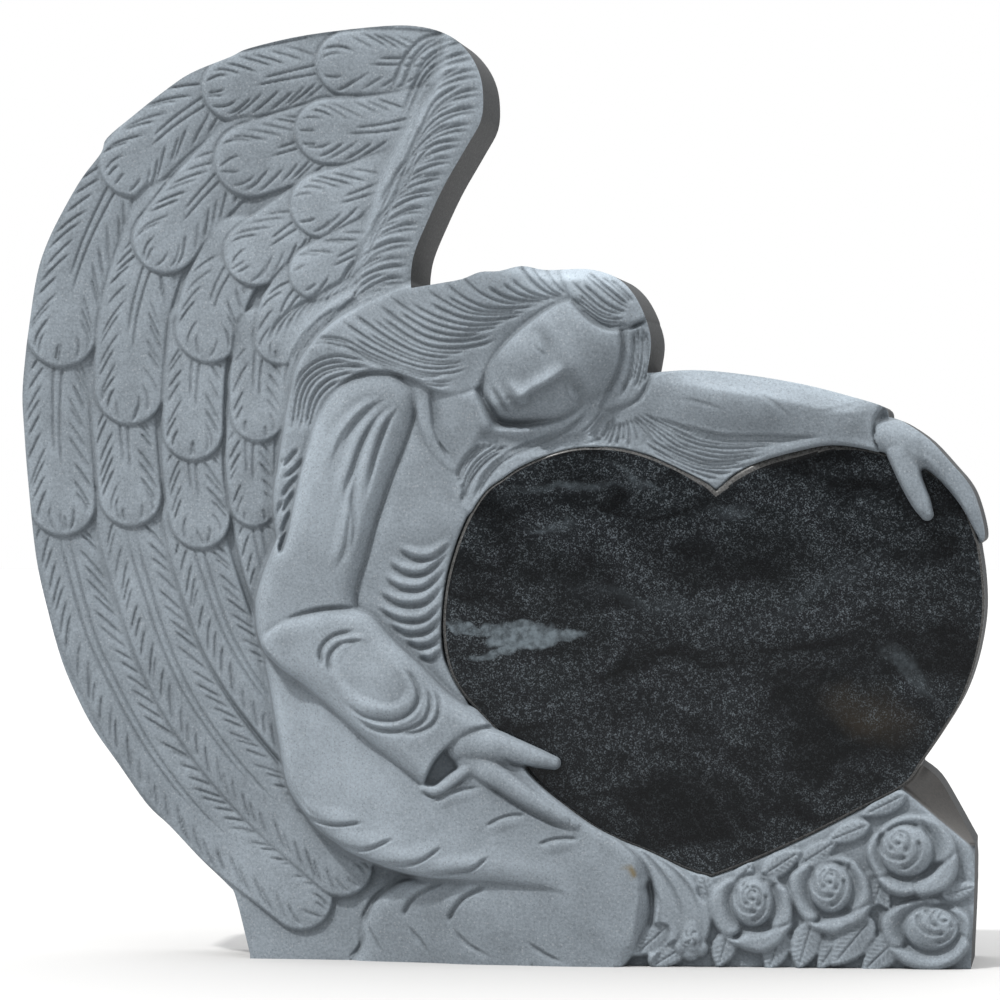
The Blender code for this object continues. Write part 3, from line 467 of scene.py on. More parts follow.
    def strands(self, guides: Lines, count: int, width: float, depth: float,
                ends: float = 0.2, lean: float = 0.6) -> None:
        """Comb strokes between neighbouring guide lines.

        Args:
            guides: Guide lines, side by side and drawn the same way.
            count: Strokes from one guide to the next.
            width: Half width of a stroke.
            depth: Depth of a stroke.
            ends: Share of the length over which each end runs out.
            lean: Share by which one side slopes more gently.
        """
        lines = [resample(curve(g), self.STRAND_STEPS) for g in guides]
        rng = random.Random(int(lines[0][0, 0] * 7))
        for a, b in zip(lines[:-1], lines[1:]):
            for i in range(count):
                first = rng.randint(0, self.LATE_START)
                last = self.STRAND_STEPS - rng.randint(0, self.EARLY_END)
                line = a + (b - a) * ((i + 0.5 + rng.uniform(-0.2, 0.2)) / count)
                swing = rng.uniform(0.72, 1.08)
                self.stroke(line[first:last:self.STRAND_STRIDE], width * swing, depth * swing, ends, lean)

    def colour(self, points: Line, width: float, amount: float) -> None:
        """Stain a soft band of the surface.

        Args:
            points: Line of the stain.
            width: Half width.
            amount: Strength at the middle, from 0 to 1.
        """
        path = curve(points, 5)
        win, u, v = self.window(path, width)
        gap = nearest(u, v, path)[0]
        self.stain[win] = np.maximum(self.stain[win], amount * smooth(1.0 - gap / width))


@dataclass(frozen=True)
class Feather:
    """One feather: a blade with a rounded tip, a double quill line and slanting barbs."""

    spine: Line
    breadth: float
    rise: float
    barb_pitch: float = 14.5
    barb_lean: float = 1.45
    barb_depth: float = 2.7

    def carve(self, sheet: Sheet, ground: Array, seed: int) -> None:
        """Lay the blade over what is below and cut its lines.

        Args:
            sheet: Sheet to carve.
            ground: Height of the wing without feathers.
            seed: Seed for its small differences.
        """
        path = curve(self.spine, 8)
        length = np.concatenate([[0], np.cumsum(np.hypot(*np.diff(path, axis=0).T))])
        end = length[-1] - self.breadth
        tip = np.array([np.interp(end, length, path[:, k]) for k in (0, 1)])
        ahead = path[-1] - tip
        path = np.vstack([path[length < end], tip])
        length = np.append(length[length < end], end)
        self._blade(sheet, ground, path, length, ahead)
        self._rim(sheet, path, ahead)
        self._quill(sheet, path)
        self._barbs(sheet, path, length, ahead, random.Random(seed))

    def _blade(self, sheet: Sheet, ground: Array, path: Array, length: Array, ahead: Array) -> None:
        """Lay the blade, low at its root and proud at its tip.

        Args:
            sheet: Sheet to carve.
            ground: Height of the wing without feathers.
            path: Places on the spine, up to the middle of the round tip.
            length: Distance along the spine at each place.
            ahead: Way that the tip points.
        """
        win, u, v = sheet.window(path, self.breadth + 4)
        gap, place, _ = nearest(u, v, path)
        along = np.interp(place, np.arange(len(path)), length)
        x = np.clip(gap / self.breadth, 0.0, 1.0)
        heading = math.atan2(ahead[1], ahead[0])
        angle = np.arctan2(v - path[-1, 1], u - path[-1, 0]) - heading
        past = np.where(place > len(path) - 1.001, gap * np.cos(angle), 0.0)
        rising = (np.clip(along + past, 0.0, None) / (length[-1] + self.breadth)) ** 2
        height = ground[win] + self.rise + 2.0 + 7.5 * rising - 4.0 * x ** 3
        sheet.lay(win, height, (self.breadth - gap) / (2 * sheet.step) + 0.5)

    def _rim(self, sheet: Sheet, path: Array, ahead: Array) -> None:
        """Cut a groove around the blade, deepest at the tip.

        Args:
            sheet: Sheet to carve.
            path: Places on the spine.
            ahead: Way that the tip points.
        """
        line = resample(path, 16)
        way = np.gradient(line, axis=0)
        across = np.stack([-way[:, 1], way[:, 0]], axis=-1) / np.hypot(*way.T)[:, None]
        reach = self.breadth + 0.6
        heading = math.atan2(ahead[1], ahead[0])
        turn = heading + np.linspace(-math.pi / 2, math.pi / 2, 9)[1:-1]
        tip = path[-1] + reach * np.stack([np.cos(turn), np.sin(turn)], axis=-1)
        left, right = line - across * reach, line + across * reach
        rng = random.Random(int(path[0, 0] * 3 + path[0, 1]))
        for part, width, depth in ((left, 2.2, 2.0), (right, 2.2, 2.0),
                                   (np.vstack([left[-4:], tip[:5]]), 2.7, 2.6),
                                   (np.vstack([tip[2:], right[:-5:-1]]), 2.7, 2.6)):
            sheet.stroke(part, width, depth * rng.uniform(0.55, 1.1), 0.3)

    def _quill(self, sheet: Sheet, path: Array) -> None:
        """Cut two long lines that close in towards the tip.

        Args:
            sheet: Sheet to carve.
            path: Places on the spine.
        """
        line = resample(path, 24)
        way = np.gradient(line, axis=0)
        way /= np.hypot(*way.T)[:, None]
        across = np.stack([-way[:, 1], way[:, 0]], axis=-1)
        share = np.linspace(0.0, 1.0, 24)[:, None]
        for side, last in ((-1.0, 21), (1.0, 19)):
            offset = across * side * (4.8 - 2.6 * share)
            sheet.stroke((line + offset)[1:last:2], 1.7, 2.6, 0.16, 0.5)

    def _barbs(self, sheet: Sheet, path: Array, length: Array, ahead: Array,
               rng: random.Random) -> None:
        """Cut the short strokes that slant from the quill to the rim and fan out at the tip.

        Args:
            sheet: Sheet to carve.
            path: Places on the spine.
            length: Distance along the spine at each place.
            ahead: Way that the tip points.
            rng: Source of small differences.
        """
        heading = math.atan2(ahead[1], ahead[0])

        def spot(run: float, away: float, side: float) -> Point:
            """Place beside the spine, or around the tip past its end."""
            if run <= length[-1]:
                at = np.array([np.interp(run, length, path[:, k]) for k in (0, 1)])
                on = np.array([np.interp(run + 2.0, length, path[:, k]) for k in (0, 1)])
                back = np.array([np.interp(run - 2.0, length, path[:, k]) for k in (0, 1)])
                way = (on - back) / (np.hypot(*(on - back)) + 1e-9)
                at = at + side * away * np.array([-way[1], way[0]])
            else:
                turn = heading + side * max(0.06, math.pi / 2 - (run - length[-1]) / away)
                at = path[-1] + away * np.array([math.cos(turn), math.sin(turn)])
            return float(at[0]), float(at[1])

        for side in (-1.0, 1.0):
            run = self.barb_pitch * (0.4 if side < 0 else 0.9)
            while run < length[-1] + 0.55 * self.breadth:
                inner = self.breadth * rng.uniform(0.26, 0.46)
                outer = self.breadth * rng.uniform(0.86, 0.97)
                lean = self.barb_lean * rng.uniform(0.85, 1.15)
                steps = [inner + (outer - inner) * k / 3.0 for k in range(4)]
                line = [spot(run + lean * (a - inner) + 0.02 * (a - inner) ** 2, a, side)
                        for a in steps]
                sheet.stroke(line, 1.7, self.barb_depth * rng.uniform(0.7, 1.2), 0.3, -0.7 * side)
                run += self.barb_pitch * rng.uniform(0.8, 1.2)


class Wing:
    """Raised wing: rows of overlapping feathers behind a maned leading edge."""

    GROUND: ClassVar[Line] = (
        (30, 420, 92), (60, 250, 92), (60, 560, 94), (120, 720, 96), (200, 830, 98), (290, 920, 104),
        (130, 130, 92), (250, 60, 98), (380, 40, 114), (440, 36, 128), (456, 80, 140), (430, 150, 142),
        (400, 220, 144), (370, 290, 144), (200, 200, 99), (150, 350, 99), (160, 480, 100), (200, 620, 104),
        (260, 740, 110), (300, 120, 106), (290, 250, 110), (250, 370, 108), (250, 500, 110),
        (370, 140, 124), (320, 290, 136), (296, 340, 132), (290, 400, 132), (286, 460, 132),
        (290, 560, 130), (340, 850, 122), (275, 640, 118), (330, 945, 130), (270, 950, 118))
    REACH: ClassVar[float] = 46.0
    ROWS: ClassVar[tuple] = (
        (0.0, (((58, 500), (63, 530), (76, 582), (93, 640), (118, 692), (143, 738), (172, 780),
                (210, 824), (258, 864), (295, 893), (326, 919)), 33),
         (((60, 335), (57, 430), (66, 536)), 34),
         (((128, 158), (88, 238), (68, 300), (56, 367)), 36),
         (((225, 88), (165, 130), (110, 188)), 34),
         (((335, 66), (270, 80), (203, 96)), 33),
         (((455, 66), (385, 62), (316, 66)), 32)),
        (3.0, (((128, 500), (131, 533), (146, 585), (163, 638), (186, 690), (210, 728),
                (238, 765), (278, 808), (322, 848), (366, 886)), 32),
         (((121, 385), (127, 460), (134, 527)), 32),
         (((166, 215), (134, 318), (129, 425)), 35),
         (((245, 150), (195, 203), (146, 267)), 34),
         (((345, 132), (290, 148), (216, 172)), 37),
         (((425, 120), (370, 130), (295, 132)), 33)),
        (6.0, (((192, 515), (198, 545), (211, 588), (228, 634), (252, 676), (282, 716),
                 (312, 752), (345, 790)), 30),
         (((192, 425), (194, 480), (206, 549)), 31),
         (((200, 325), (194, 390), (193, 461)), 31),
         (((240, 250), (214, 300), (206, 363)), 34),
         (((315, 212), (275, 240), (230, 273)), 33),
         (((400, 180), (350, 198), (291, 213)), 33)),
        (8.0, (((254, 505), (262, 550), (276, 596), (300, 640), (330, 690)), 24),
         (((252, 410), (250, 465), (257, 527)), 25),
         (((262, 335), (257, 385), (260, 442)), 28),
         (((312, 275), (285, 312), (280, 365)), 27),
         (((390, 235), (340, 260), (292, 285)), 28)))
    MANE: ClassVar[Line] = (
        (458, 46, 22, 144), (462, 72, 32, 152), (460, 104, 40, 157), (446, 138, 46, 159),
        (426, 172, 46, 160), (408, 210, 44, 160), (396, 250, 42, 161), (386, 300, 42, 162))
    EDGE: ClassVar[Line] = (
        (452, 34), (468, 46), (479, 66), (482, 94), (478, 122), (464, 148), (444, 184), (428, 216),
        (416, 246), (410, 268), (407, 286))
    SWEEP: ClassVar[Line] = ((0, -2), (-21, -1), (-43, 7), (-60, 22), (-72, 46), (-84, 76))

    def __init__(self, mane_count: int = 46) -> None:
        """Plan the wing.

        Args:
            mane_count: Locks along the leading edge.
        """
        self.mane_count = mane_count

    def carve(self, sheet: Sheet) -> None:
        """Carve the whole wing.

        Args:
            sheet: Sheet to carve.
        """
        sheet.form[:] = spread(sheet.u, sheet.v, self.GROUND, self.REACH)
        ground = sheet.form.copy()
        for rise, *feathers in self.ROWS:
            for i, (spine, breadth) in enumerate(feathers):
                Feather(spine, breadth, rise).carve(sheet, ground, seed=int(rise) * 10 + i)
        self._mane(sheet)

    def _mane(self, sheet: Sheet) -> None:
        """Carve the leading edge with wavy locks that fall back over the feathers.

        Args:
            sheet: Sheet to carve.
        """
        sheet.limb(self.MANE, flat=0.4, soft=14.0)
        edge = resample(curve(self.EDGE, 6), 200)
        rng = random.Random(7)
        for i in range(self.mane_count):
            t = i / (self.mane_count - 1.0)
            at = edge[int(round(t * 199))]
            size = (0.80 + 0.20 * smooth(t / 0.4)) * rng.uniform(0.84, 1.15)
            drop = 8.0 * (1.0 - t)
            line = [(at[0] + size * du, at[1] + size * dv + drop * k / 5.0 + rng.uniform(-0.8, 0.8))
                    for k, (du, dv) in enumerate(self.SWEEP)]
            start, stop = (1, 6) if i % 3 == 1 else (0, 6 - (i * 5) % 4 // 2)
            sheet.stroke(line[start:stop], 2.7, 3.9 * rng.uniform(0.7, 1.1), 0.2, 0.7)
        for i in range(9):
            u, v = 384 - 9.0 * i, 262 + 5.0 * i
            sheet.stroke([(u, v), (u - 20, v + 8), (u - 36, v + 24), (u - 46, v + 46)],
                         2.6, 3.4, 0.25, 0.7)


@dataclass(frozen=True)
class Leaf:
    """Rose leaf with a vein, ribs and a toothed rim."""

    base: Point
    tip: Point
    half: float
    height: float
    teeth: float = 5.5

    def carve(self, sheet: Sheet) -> None:
        """Carve the leaf.

        Args:
            sheet: Sheet to carve.
        """
        path = np.array([self.base, self.tip], float)
        win, u, v = sheet.window(path, self.half + 5)
        axis = path[1] - path[0]
        size = float(np.hypot(*axis))
        s = ((u - path[0, 0]) * axis[0] + (v - path[0, 1]) * axis[1]) / size
        t = ((u - path[0, 0]) * -axis[1] + (v - path[0, 1]) * axis[0]) / size
        share = np.clip(s / size, 0.0, 1.0)
        saw = (s - 0.6 * np.abs(t)) / self.teeth
        edge = self.half * np.sin(np.pi * share ** 0.75) ** 0.8 * (1.0 + 0.14 * (saw - np.floor(saw)))
        top = self.height + 2.5 - 2.0 * (t / self.half) ** 2 + 1.5 * share
        on = np.where((s > -1) & (s < size + 1), edge - np.abs(t), -1.0)
        sheet.lay(win, top, on / sheet.step + 0.5)
        across = np.array([-axis[1], axis[0]]) / size
        along = axis / size
        sheet.stroke([path[0] + along * size * k for k in (0.02, 0.35, 0.65, 0.95)], 1.7, 2.6, 0.15)
        for k in range(1, int(size / self.teeth)):
            for side in (-1.0, 1.0):
                start = path[0] + along * k * self.teeth
                reach = self.half * math.sin(math.pi * (k * self.teeth / size) ** 0.75) * 0.85
                end = start + along * reach * 0.8 + across * side * reach
                sheet.stroke([start, (start + end) / 2 + along, end], 1.2, 1.3, 0.4)


@dataclass(frozen=True)
class Rose:
    """Open rose: a ball of close petals between broad outer ones that turn their rims out."""

    middle: Point
    ball: Point
    bud: Point
    height: float
    petals: Lines
    ARCS: ClassVar[tuple[Point, ...]] = (
        (0.16, 0.26, 20, 360, 0.0), (0.34, 0.52, -110, 70, 0.10), (0.40, 0.46, 110, 260, 0.12),
        (0.52, 0.88, 60, 215, 0.40), (0.60, 0.90, -25, 100, 0.55), (0.66, 0.92, 215, 320, 0.45))

    def carve(self, sheet: Sheet) -> None:
        """Carve the outer petals, then the ball and the rims of its petals.

        Args:
            sheet: Sheet to carve.
        """
        for petal in self.petals:
            self._petal(sheet, petal)
        u0, v0 = self.middle
        ru, rv = self.ball
        win, u, v = sheet.window(np.array([self.middle]), max(ru, rv) + 3)
        far = np.hypot((u - u0) / ru, (v - v0) / rv)
        top = self.height + 1.0 - 8.0 * np.clip(far, 0, 1) ** 3
        sheet.lay(win, top, (1.0 - far) * ru / (2 * sheet.step) + 0.5)
        for near, wide, first, last, shift in self.ARCS:
            cu, cv = (b + (m - b) * shift for b, m in zip(self.bud, self.middle))
            arc = [(cu + radius * ru * math.cos(math.radians(a)),
                    cv + radius * rv * math.sin(math.radians(a)))
                   for a, radius in zip(np.linspace(first, last, 7), np.linspace(near, wide, 7))]
            sheet.swell(arc, 3.4, 2.4)
            sheet.stroke(arc, 2.8, 4.8, 0.14, 0.9)

    def _petal(self, sheet: Sheet, outline: Line) -> None:
        """Carve one outer petal that rises from the ball to its rim.

        Args:
            sheet: Sheet to carve.
            outline: Closed outline.
        """
        path = curve(outline, closed=True)
        win, u, v = sheet.window(path, 3)
        deep = sheet.signed(u, v, path)
        far = np.hypot((u - self.middle[0]) / self.ball[0], (v - self.middle[1]) / self.ball[1])
        top = (self.height - 12.0 + 8.5 * smooth((far - 0.95) / 0.65)
               - 3.0 * (1.0 - smooth(deep / 5.0)))
        sheet.lay(win, top, deep / (2 * sheet.step) + 0.5)


class Blooms:
    """Four open roses, a bud and leaves over the right end of the base."""

    ROSES: ClassVar[tuple[Rose, ...]] = (
        Rose((753, 902), (21, 25), (752, 896), 178,
             (((731, 886), (740, 876), (758, 873), (774, 876), (780, 886), (766, 894),
               (744, 894)),
              ((718, 884), (736, 878), (742, 896), (738, 910), (742, 922), (740, 932),
               (728, 938), (717, 929), (710, 914), (709, 898)),
              ((774, 884), (788, 889), (793, 906), (792, 922), (784, 932), (770, 926),
               (768, 906)),
              ((726, 938), (738, 938), (749, 928), (764, 930), (779, 926), (793, 923),
               (787, 935), (779, 945), (764, 953), (748, 951), (734, 945)))),
        Rose((831, 888), (22, 25), (829, 879), 179,
             (((806, 868), (817, 859), (832, 856), (848, 858), (858, 867), (844, 880),
               (820, 880)),
              ((789, 881), (794, 871), (808, 864), (816, 878), (812, 893), (816, 906),
               (819, 918), (807, 923), (797, 911), (791, 896)),
              ((850, 862), (863, 871), (870, 887), (870, 902), (860, 912), (846, 908),
               (846, 884)),
              ((804, 920), (818, 922), (832, 914), (848, 912), (870, 904), (869, 914),
               (862, 923), (848, 929), (832, 935), (816, 931)))),
        Rose((907, 851), (27, 26), (897, 840), 180,
             (((877, 834), (890, 821), (908, 815), (926, 818), (928, 832), (908, 834),
               (890, 836)),
              ((867, 850), (876, 833), (888, 842), (886, 858), (892, 872), (880, 879),
               (871, 867)),
              ((922, 818), (939, 822), (951, 837), (956, 852), (946, 862), (928, 862),
               (928, 838)),
              ((878, 879), (890, 876), (908, 878), (922, 876), (918, 892), (903, 897),
               (888, 892)),
              ((914, 880), (930, 874), (942, 864), (956, 853), (958, 866), (955, 879),
               (946, 889), (933, 895), (917, 896)))),
        Rose((931, 929), (27, 22), (944, 918), 177,
             (((884, 938), (881, 920), (893, 908), (914, 900), (936, 898), (940, 908),
               (918, 918), (908, 930), (906, 944), (894, 950)),
              ((950, 906), (967, 915), (971, 931), (966, 942), (952, 938), (950, 920)),
              ((889, 948), (906, 948), (924, 946), (946, 944), (962, 934), (969, 946),
               (958, 962), (940, 970), (918, 970), (900, 962)))))
    LEAVES: ClassVar[tuple[Leaf, ...]] = (
        Leaf((870, 824), (826, 842), 10, 167), Leaf((906, 794), (862, 816), 10, 167),
        Leaf((762, 876), (802, 850), 11, 168), Leaf((798, 866), (838, 840), 10, 166),
        Leaf((738, 884), (752, 862), 8, 166), Leaf((668, 926), (634, 956), 12, 168),
        Leaf((688, 944), (650, 968), 10, 168), Leaf((728, 934), (718, 968), 12, 167),
        Leaf((812, 922), (798, 970), 15, 168), Leaf((846, 928), (818, 970), 13, 166),
        Leaf((872, 918), (832, 966), 17, 168), Leaf((900, 936), (862, 972), 15, 166),
        Leaf((942, 896), (978, 886), 9, 165), Leaf((782, 930), (768, 972), 14, 165),
        Leaf((868, 872), (890, 910), 10, 164),
        Leaf((710, 902), (702, 872), 9, 167), Leaf((884, 876), (872, 908), 9, 164))

    def carve(self, sheet: Sheet) -> None:
        """Carve the flowers on their ground.

        Args:
            sheet: Sheet to carve.
        """
        sheet.patch(
            [(610, 992), (625, 966), (645, 940), (653, 900), (646, 870), (628, 847), (598, 822), (606, 818),
             (652, 845), (684, 862), (711, 872), (748, 858), (804, 833), (855, 807), (905, 782), (905, 786),
             (934, 813), (970, 845), (980, 900), (976, 992)],
            [(652, 890, 171), (700, 920, 163), (770, 890, 164), (850, 850, 164), (900, 810, 163),
             (950, 860, 162), (900, 960, 161), (760, 960, 160), (640, 970, 158)], 30, 5, 3)
        sheet.ramp(
            [(902, 788), (902, 788), (921, 758), (921, 758), (944, 772), (966, 806), (988, 850), (988, 850),
             (970, 845), (970, 845), (934, 815)], [(905, 787), (934, 813), (970, 845)],
            [(921, 762), (945, 780), (984, 848)], 148, 100)
        self._cloth(sheet)
        for leaf in self.LEAVES:
            leaf.carve(sheet)
        self._bud(sheet)
        for rose in self.ROSES:
            rose.carve(sheet)

    @staticmethod
    def _cloth(sheet: Sheet) -> None:
        """Carve the end of the gown that hangs between the knee and the flowers.

        Args:
            sheet: Sheet to carve.
        """
        sheet.patch(
            [(600, 822), (628, 836), (660, 856), (690, 876), (706, 898), (712, 920), (704, 944), (690, 926),
             (676, 944), (664, 966), (648, 962), (652, 930), (656, 900), (648, 872), (628, 848)],
            [(620, 838, 172), (650, 862, 176), (690, 900, 176), (660, 930, 176), (700, 925, 172)], 20, 4, 4)
        for line in (
                ((612, 833), (642, 852), (664, 876), (680, 904), (684, 932)),
                ((636, 846), (668, 866), (692, 892), (704, 924)), ((652, 884), (660, 906), (660, 936))):
            sheet.stroke(line, 2.6, 3.0, 0.3, 0.7)

    @staticmethod
    def _bud(sheet: Sheet) -> None:
        """Carve the bud under the hanging cloth.

        Args:
            sheet: Sheet to carve.
        """
        for point in ((682, 946, 9), (700, 948, 9), (691, 952, 9)):
            sheet.limb([(691, 930, 6, 176), (point[0], point[1], point[2], 175)], flat=0.9)
        sheet.limb([(691, 926, 9, 176), (691, 940, 11, 181), (692, 946, 8, 178)], flat=0.8)
        for k in range(4):
            angle = 0.6 + 1.5 * k
            sheet.stroke([(691, 938), (691 + 5 * math.cos(angle), 938 + 6 * math.sin(angle)),
                          (691 + 8 * math.cos(angle + 0.6), 938 + 10 * math.sin(angle + 0.6))],
                         1.8, 2.6, 0.2)


HEART_SIDE: Line = (
    (979, 544), (984, 582), (984, 619), (976, 662), (962, 700), (939, 738), (921, 764))

OUTLINE: Line = (
    (251, 992), (251, 992), (250, 954), (250, 954), (236, 898), (228, 885), (200, 858), (170, 826),
    (147, 804), (118, 763), (96, 732), (80, 703), (62, 661), (47, 607), (36, 556), (28, 480),
    (24.3, 432), (22.4, 395), (25.3, 357), (29, 327), (37, 275), (48, 241), (65, 207), (82, 178),
    (101, 153), (107, 138), (134, 115), (163, 92), (191, 73), (230, 57), (250, 48), (307, 35),
    (384, 26), (422, 27), (450, 36), (468, 52), (479, 72), (483, 94), (481, 120), (467, 146),
    (445, 184), (428, 220), (415, 251), (411, 272), (411, 288), (411, 288), (441, 283), (462, 279),
    (480, 272), (499, 271), (522, 266), (546, 270), (586, 269), (611, 275), (627, 286), (639, 303),
    (648, 325), (651, 345), (647, 373), (647, 373), (693, 370), (741, 374), (802, 384), (853, 397),
    (884, 407), (889, 417), (889, 417), (904, 422), (930, 440), (955, 467), (967, 481), (976, 497),
    (983, 521), (984.8, 538), (979, 544), *HEART_SIDE, (921, 764),
    (939, 779), (957, 809), (975, 843), (975, 843), (974, 900),
    (971, 966), (970, 992), (970, 992))

HEART: Line = (
    (716, 491), (716, 491), (706, 483), (680, 470), (651, 457), (622, 449), (594, 447), (570, 449),
    (545, 456), (520, 467), (502, 479), (486, 491), (470, 515), (457, 546), (447, 583), (443, 624),
    (447, 661), (459, 689), (482, 716), (508, 744), (532, 778), (564, 806), (602, 832), (651, 853),
    (685, 869),
    (711, 877), (711, 877), (748, 863), (804, 838), (855, 812), (904, 786), (921, 764),
    *HEART_SIDE[::-1], (979, 544), (966, 510),
    (945, 482), (915, 463), (884, 453), (862, 448), (831, 445), (802, 450), (765, 460), (738, 473))


@dataclass(frozen=True)
class HeartShape:
    """Polished heart: a flat face with a rounded rim, wider on the lobe under the sleeve.

    Where its right side is the side of the block, `open_side` gives the u from which the relief is
    sunk past its outline, and the v where that starts and ends.
    """

    face: float = 166.0
    foot: float = 150.0
    rim: float = 3.2
    wide_rim: float = 13.0
    wide_place: Point = (770.0, 462.0, 70.0)
    rim_steps: int = 8
    lip: float = 3.0
    open_side: Point = (930.0, 552.0, 742.0)
    open_reach: float = 4.0
    sink_start: float = 0.5

    def sink(self, sheet: Sheet) -> None:
        """Sink the relief under the heart.

        Args:
            sheet: Sheet to carve.
        """
        path = curve(HEART, closed=True)
        win, u, v = sheet.window(path, 7)
        start, top, end = self.open_side
        open_here = smooth((u - start) / 12) * smooth((v - top) / 8) * smooth((end - v) / 12)
        past = self.sink_start + self.open_reach * open_here
        share = smooth((sheet.signed(u, v, path) + past) / self.lip)
        sheet.lay(win, np.full(u.shape, self.foot), share)

    def width(self, u: Array, v: Array) -> Array:
        """Width of the rounded rim.

        Args:
            u: Places across the sheet.
            v: Places down the sheet.

        Returns:
            The width at each place.
        """
        u0, v0, reach = self.wide_place
        near = smooth(1.35 - np.hypot(u - u0, (v - v0) * 1.2) / reach)
        return self.rim + (self.wide_rim - self.rim) * near


class Dress:
    """Gown of the kneeling figure: folded leg, thigh, trunk and near sleeve."""

    FOLD: ClassVar[float] = 2.6

    def carve(self, sheet: Sheet) -> None:
        """Carve the gown from the far parts to the near ones.

        Args:
            sheet: Sheet to carve.
        """
        self._lower_leg(sheet)
        self._thigh(sheet)
        self._trunk(sheet)
        self._sleeve(sheet)
        self._forearm(sheet)

    def _lower_leg(self, sheet: Sheet) -> None:
        """Carve the leg folded under, with three folds over the shin.

        Args:
            sheet: Sheet to carve.
        """
        sheet.patch(
            [(616, 880), (634, 852), (660, 858), (676, 880), (676, 930), (660, 970), (626, 980)],
            [(650, 880, 170), (652, 920, 168), (644, 960, 162)], 20, 4, 0)
        sheet.patch(
            [(362, 992), (360, 945), (366, 912), (392, 886), (440, 872), (500, 866), (560, 852), (610, 856),
             (636, 866), (648, 888), (652, 915), (645, 942), (628, 966), (612, 992)],
            [(372, 940, 128), (420, 920, 156), (410, 970, 142), (470, 920, 170), (520, 925, 177),
             (600, 895, 188), (560, 950, 177), (612, 945, 177), (636, 900, 186), (500, 970, 162)], 30, 18,
            14)
        for line in (
                ((364, 924), (370, 908), (382, 894), (406, 882)),
                ((403, 918), (411, 902), (423, 892), (446, 881)),
                ((448, 924), (456, 908), (468, 896), (490, 885))):
            sheet.swell([(u - 6, v - 4) for u, v in line], 9, 2.4, 0.4)
            sheet.stroke(line, 2.8, 5.0, 0.16, -0.8)
        for line in (
                ((366, 922), (374, 938), (384, 956)), ((406, 924), (420, 940), (432, 958)),
                ((450, 926), (468, 944), (492, 958)), ((524, 940), (545, 954), (566, 964)),
                ((346, 960), (360, 946), (366, 926))):
            sheet.stroke(line, self.FOLD, 3.0, 0.35, 0.6)

    def _thigh(self, sheet: Sheet) -> None:
        """Carve the thigh, its knee and the folds that run up from its edge.

        Args:
            sheet: Sheet to carve.
        """
        sheet.patch(
            [(262, 640), (268, 690), (277, 745), (285, 786), (299, 811), (315, 830), (340, 850), (367, 863),
             (395, 873), (422, 880), (463, 883), (504, 886), (545, 891), (590, 900), (640, 892), (656, 872),
             (657, 848), (610, 824), (570, 784), (532, 742), (490, 712), (450, 690), (380, 640),
             (300, 620)],
            [(285, 690, 148), (294, 760, 154), (350, 720, 174), (350, 800, 174), (430, 780, 182),
             (440, 850, 183), (520, 800, 185), (540, 860, 187), (600, 850, 186), (620, 880, 187),
             (296, 800, 150), (330, 660, 168)], 36, 24, 18, soft=5, fade=(606, 896, 120))
        folds = (
            ((292, 806), (312, 820), (336, 826), (366, 823)),
            ((326, 838), (346, 848), (368, 850), (396, 838)),
            ((366, 862), (396, 866), (420, 862), (444, 846)),
            ((420, 876), (450, 874), (472, 870), (490, 856)))
        for line in folds:
            sheet.swell([(u + 2, v - 7) for u, v in line], 10, 2.2, -0.3)
            sheet.stroke(line, 2.2, 4.2, 0.16, -0.9)
        for line in (
                ((432, 803), (446, 793), (461, 789), (482, 787)),
                ((484, 827), (498, 819), (512, 815), (528, 815)),
                ((536, 845), (550, 840), (564, 838), (580, 839))):
            sheet.swell([(u + 2, v + 6) for u, v in line], 8, 1.6)
            sheet.stroke(line, 2.2, 3.4, 0.2, 0.7)
        sheet.stroke([(286, 770), (296, 793), (310, 812), (330, 822)], 3.0, 1.8, 0.4, 0.8)
        sheet.patch(
            [(548, 852), (590, 850), (628, 852), (646, 868), (654, 896), (650, 926), (636, 950), (606, 958),
             (572, 936), (556, 900)],
            [(570, 880, 187), (610, 880, 189), (634, 890, 186), (600, 930, 182), (636, 926, 180),
             (570, 920, 181)], 30, 8, 0, soft=26)
        sheet.swell(
            [(636, 842), (648, 862), (655, 884), (655, 910), (647, 938), (634, 962)], 19, -12.0)
        sheet.colour([(630, 868), (633, 872), (634, 875)], 5.0, 0.9)

    def _trunk(self, sheet: Sheet) -> None:
        """Carve the trunk with the gathers over the waist.

        Args:
            sheet: Sheet to carve.
        """
        sheet.patch(
            [(404, 440), (416, 402), (440, 385), (470, 400), (486, 440), (487, 490), (470, 515), (457, 546),
             (447, 583), (443, 624), (447, 661), (470, 706), (430, 690), (392, 650), (358, 616), (354, 588),
             (364, 540), (376, 491)],
            [(430, 420, 164), (436, 470, 170), (425, 520, 175), (412, 600, 170), (430, 660, 164),
             (475, 480, 158), (446, 560, 162), (382, 590, 167), (400, 480, 168), (372, 620, 166)], 26, 12,
            5)
        gathers = (
            ((398, 550), (413, 559), (432, 559), (452, 543)),
            ((388, 563), (404, 574), (426, 574), (449, 553)),
            ((384, 578), (400, 589), (424, 589), (447, 569)),
            ((378, 593), (398, 605), (424, 604), (445, 585)),
            ((376, 608), (398, 621), (424, 621), (444, 602)),
            ((388, 625), (406, 635), (426, 633), (443, 618)),
            ((404, 642), (418, 648), (432, 645), (443, 634)), ((418, 657), (430, 661), (443, 650)))
        for line in gathers:
            sheet.swell([(u, v - 6) for u, v in line], 7, 5.0, -0.2)
            sheet.stroke(line, 3.2, 4.2, 0.2, -0.8)

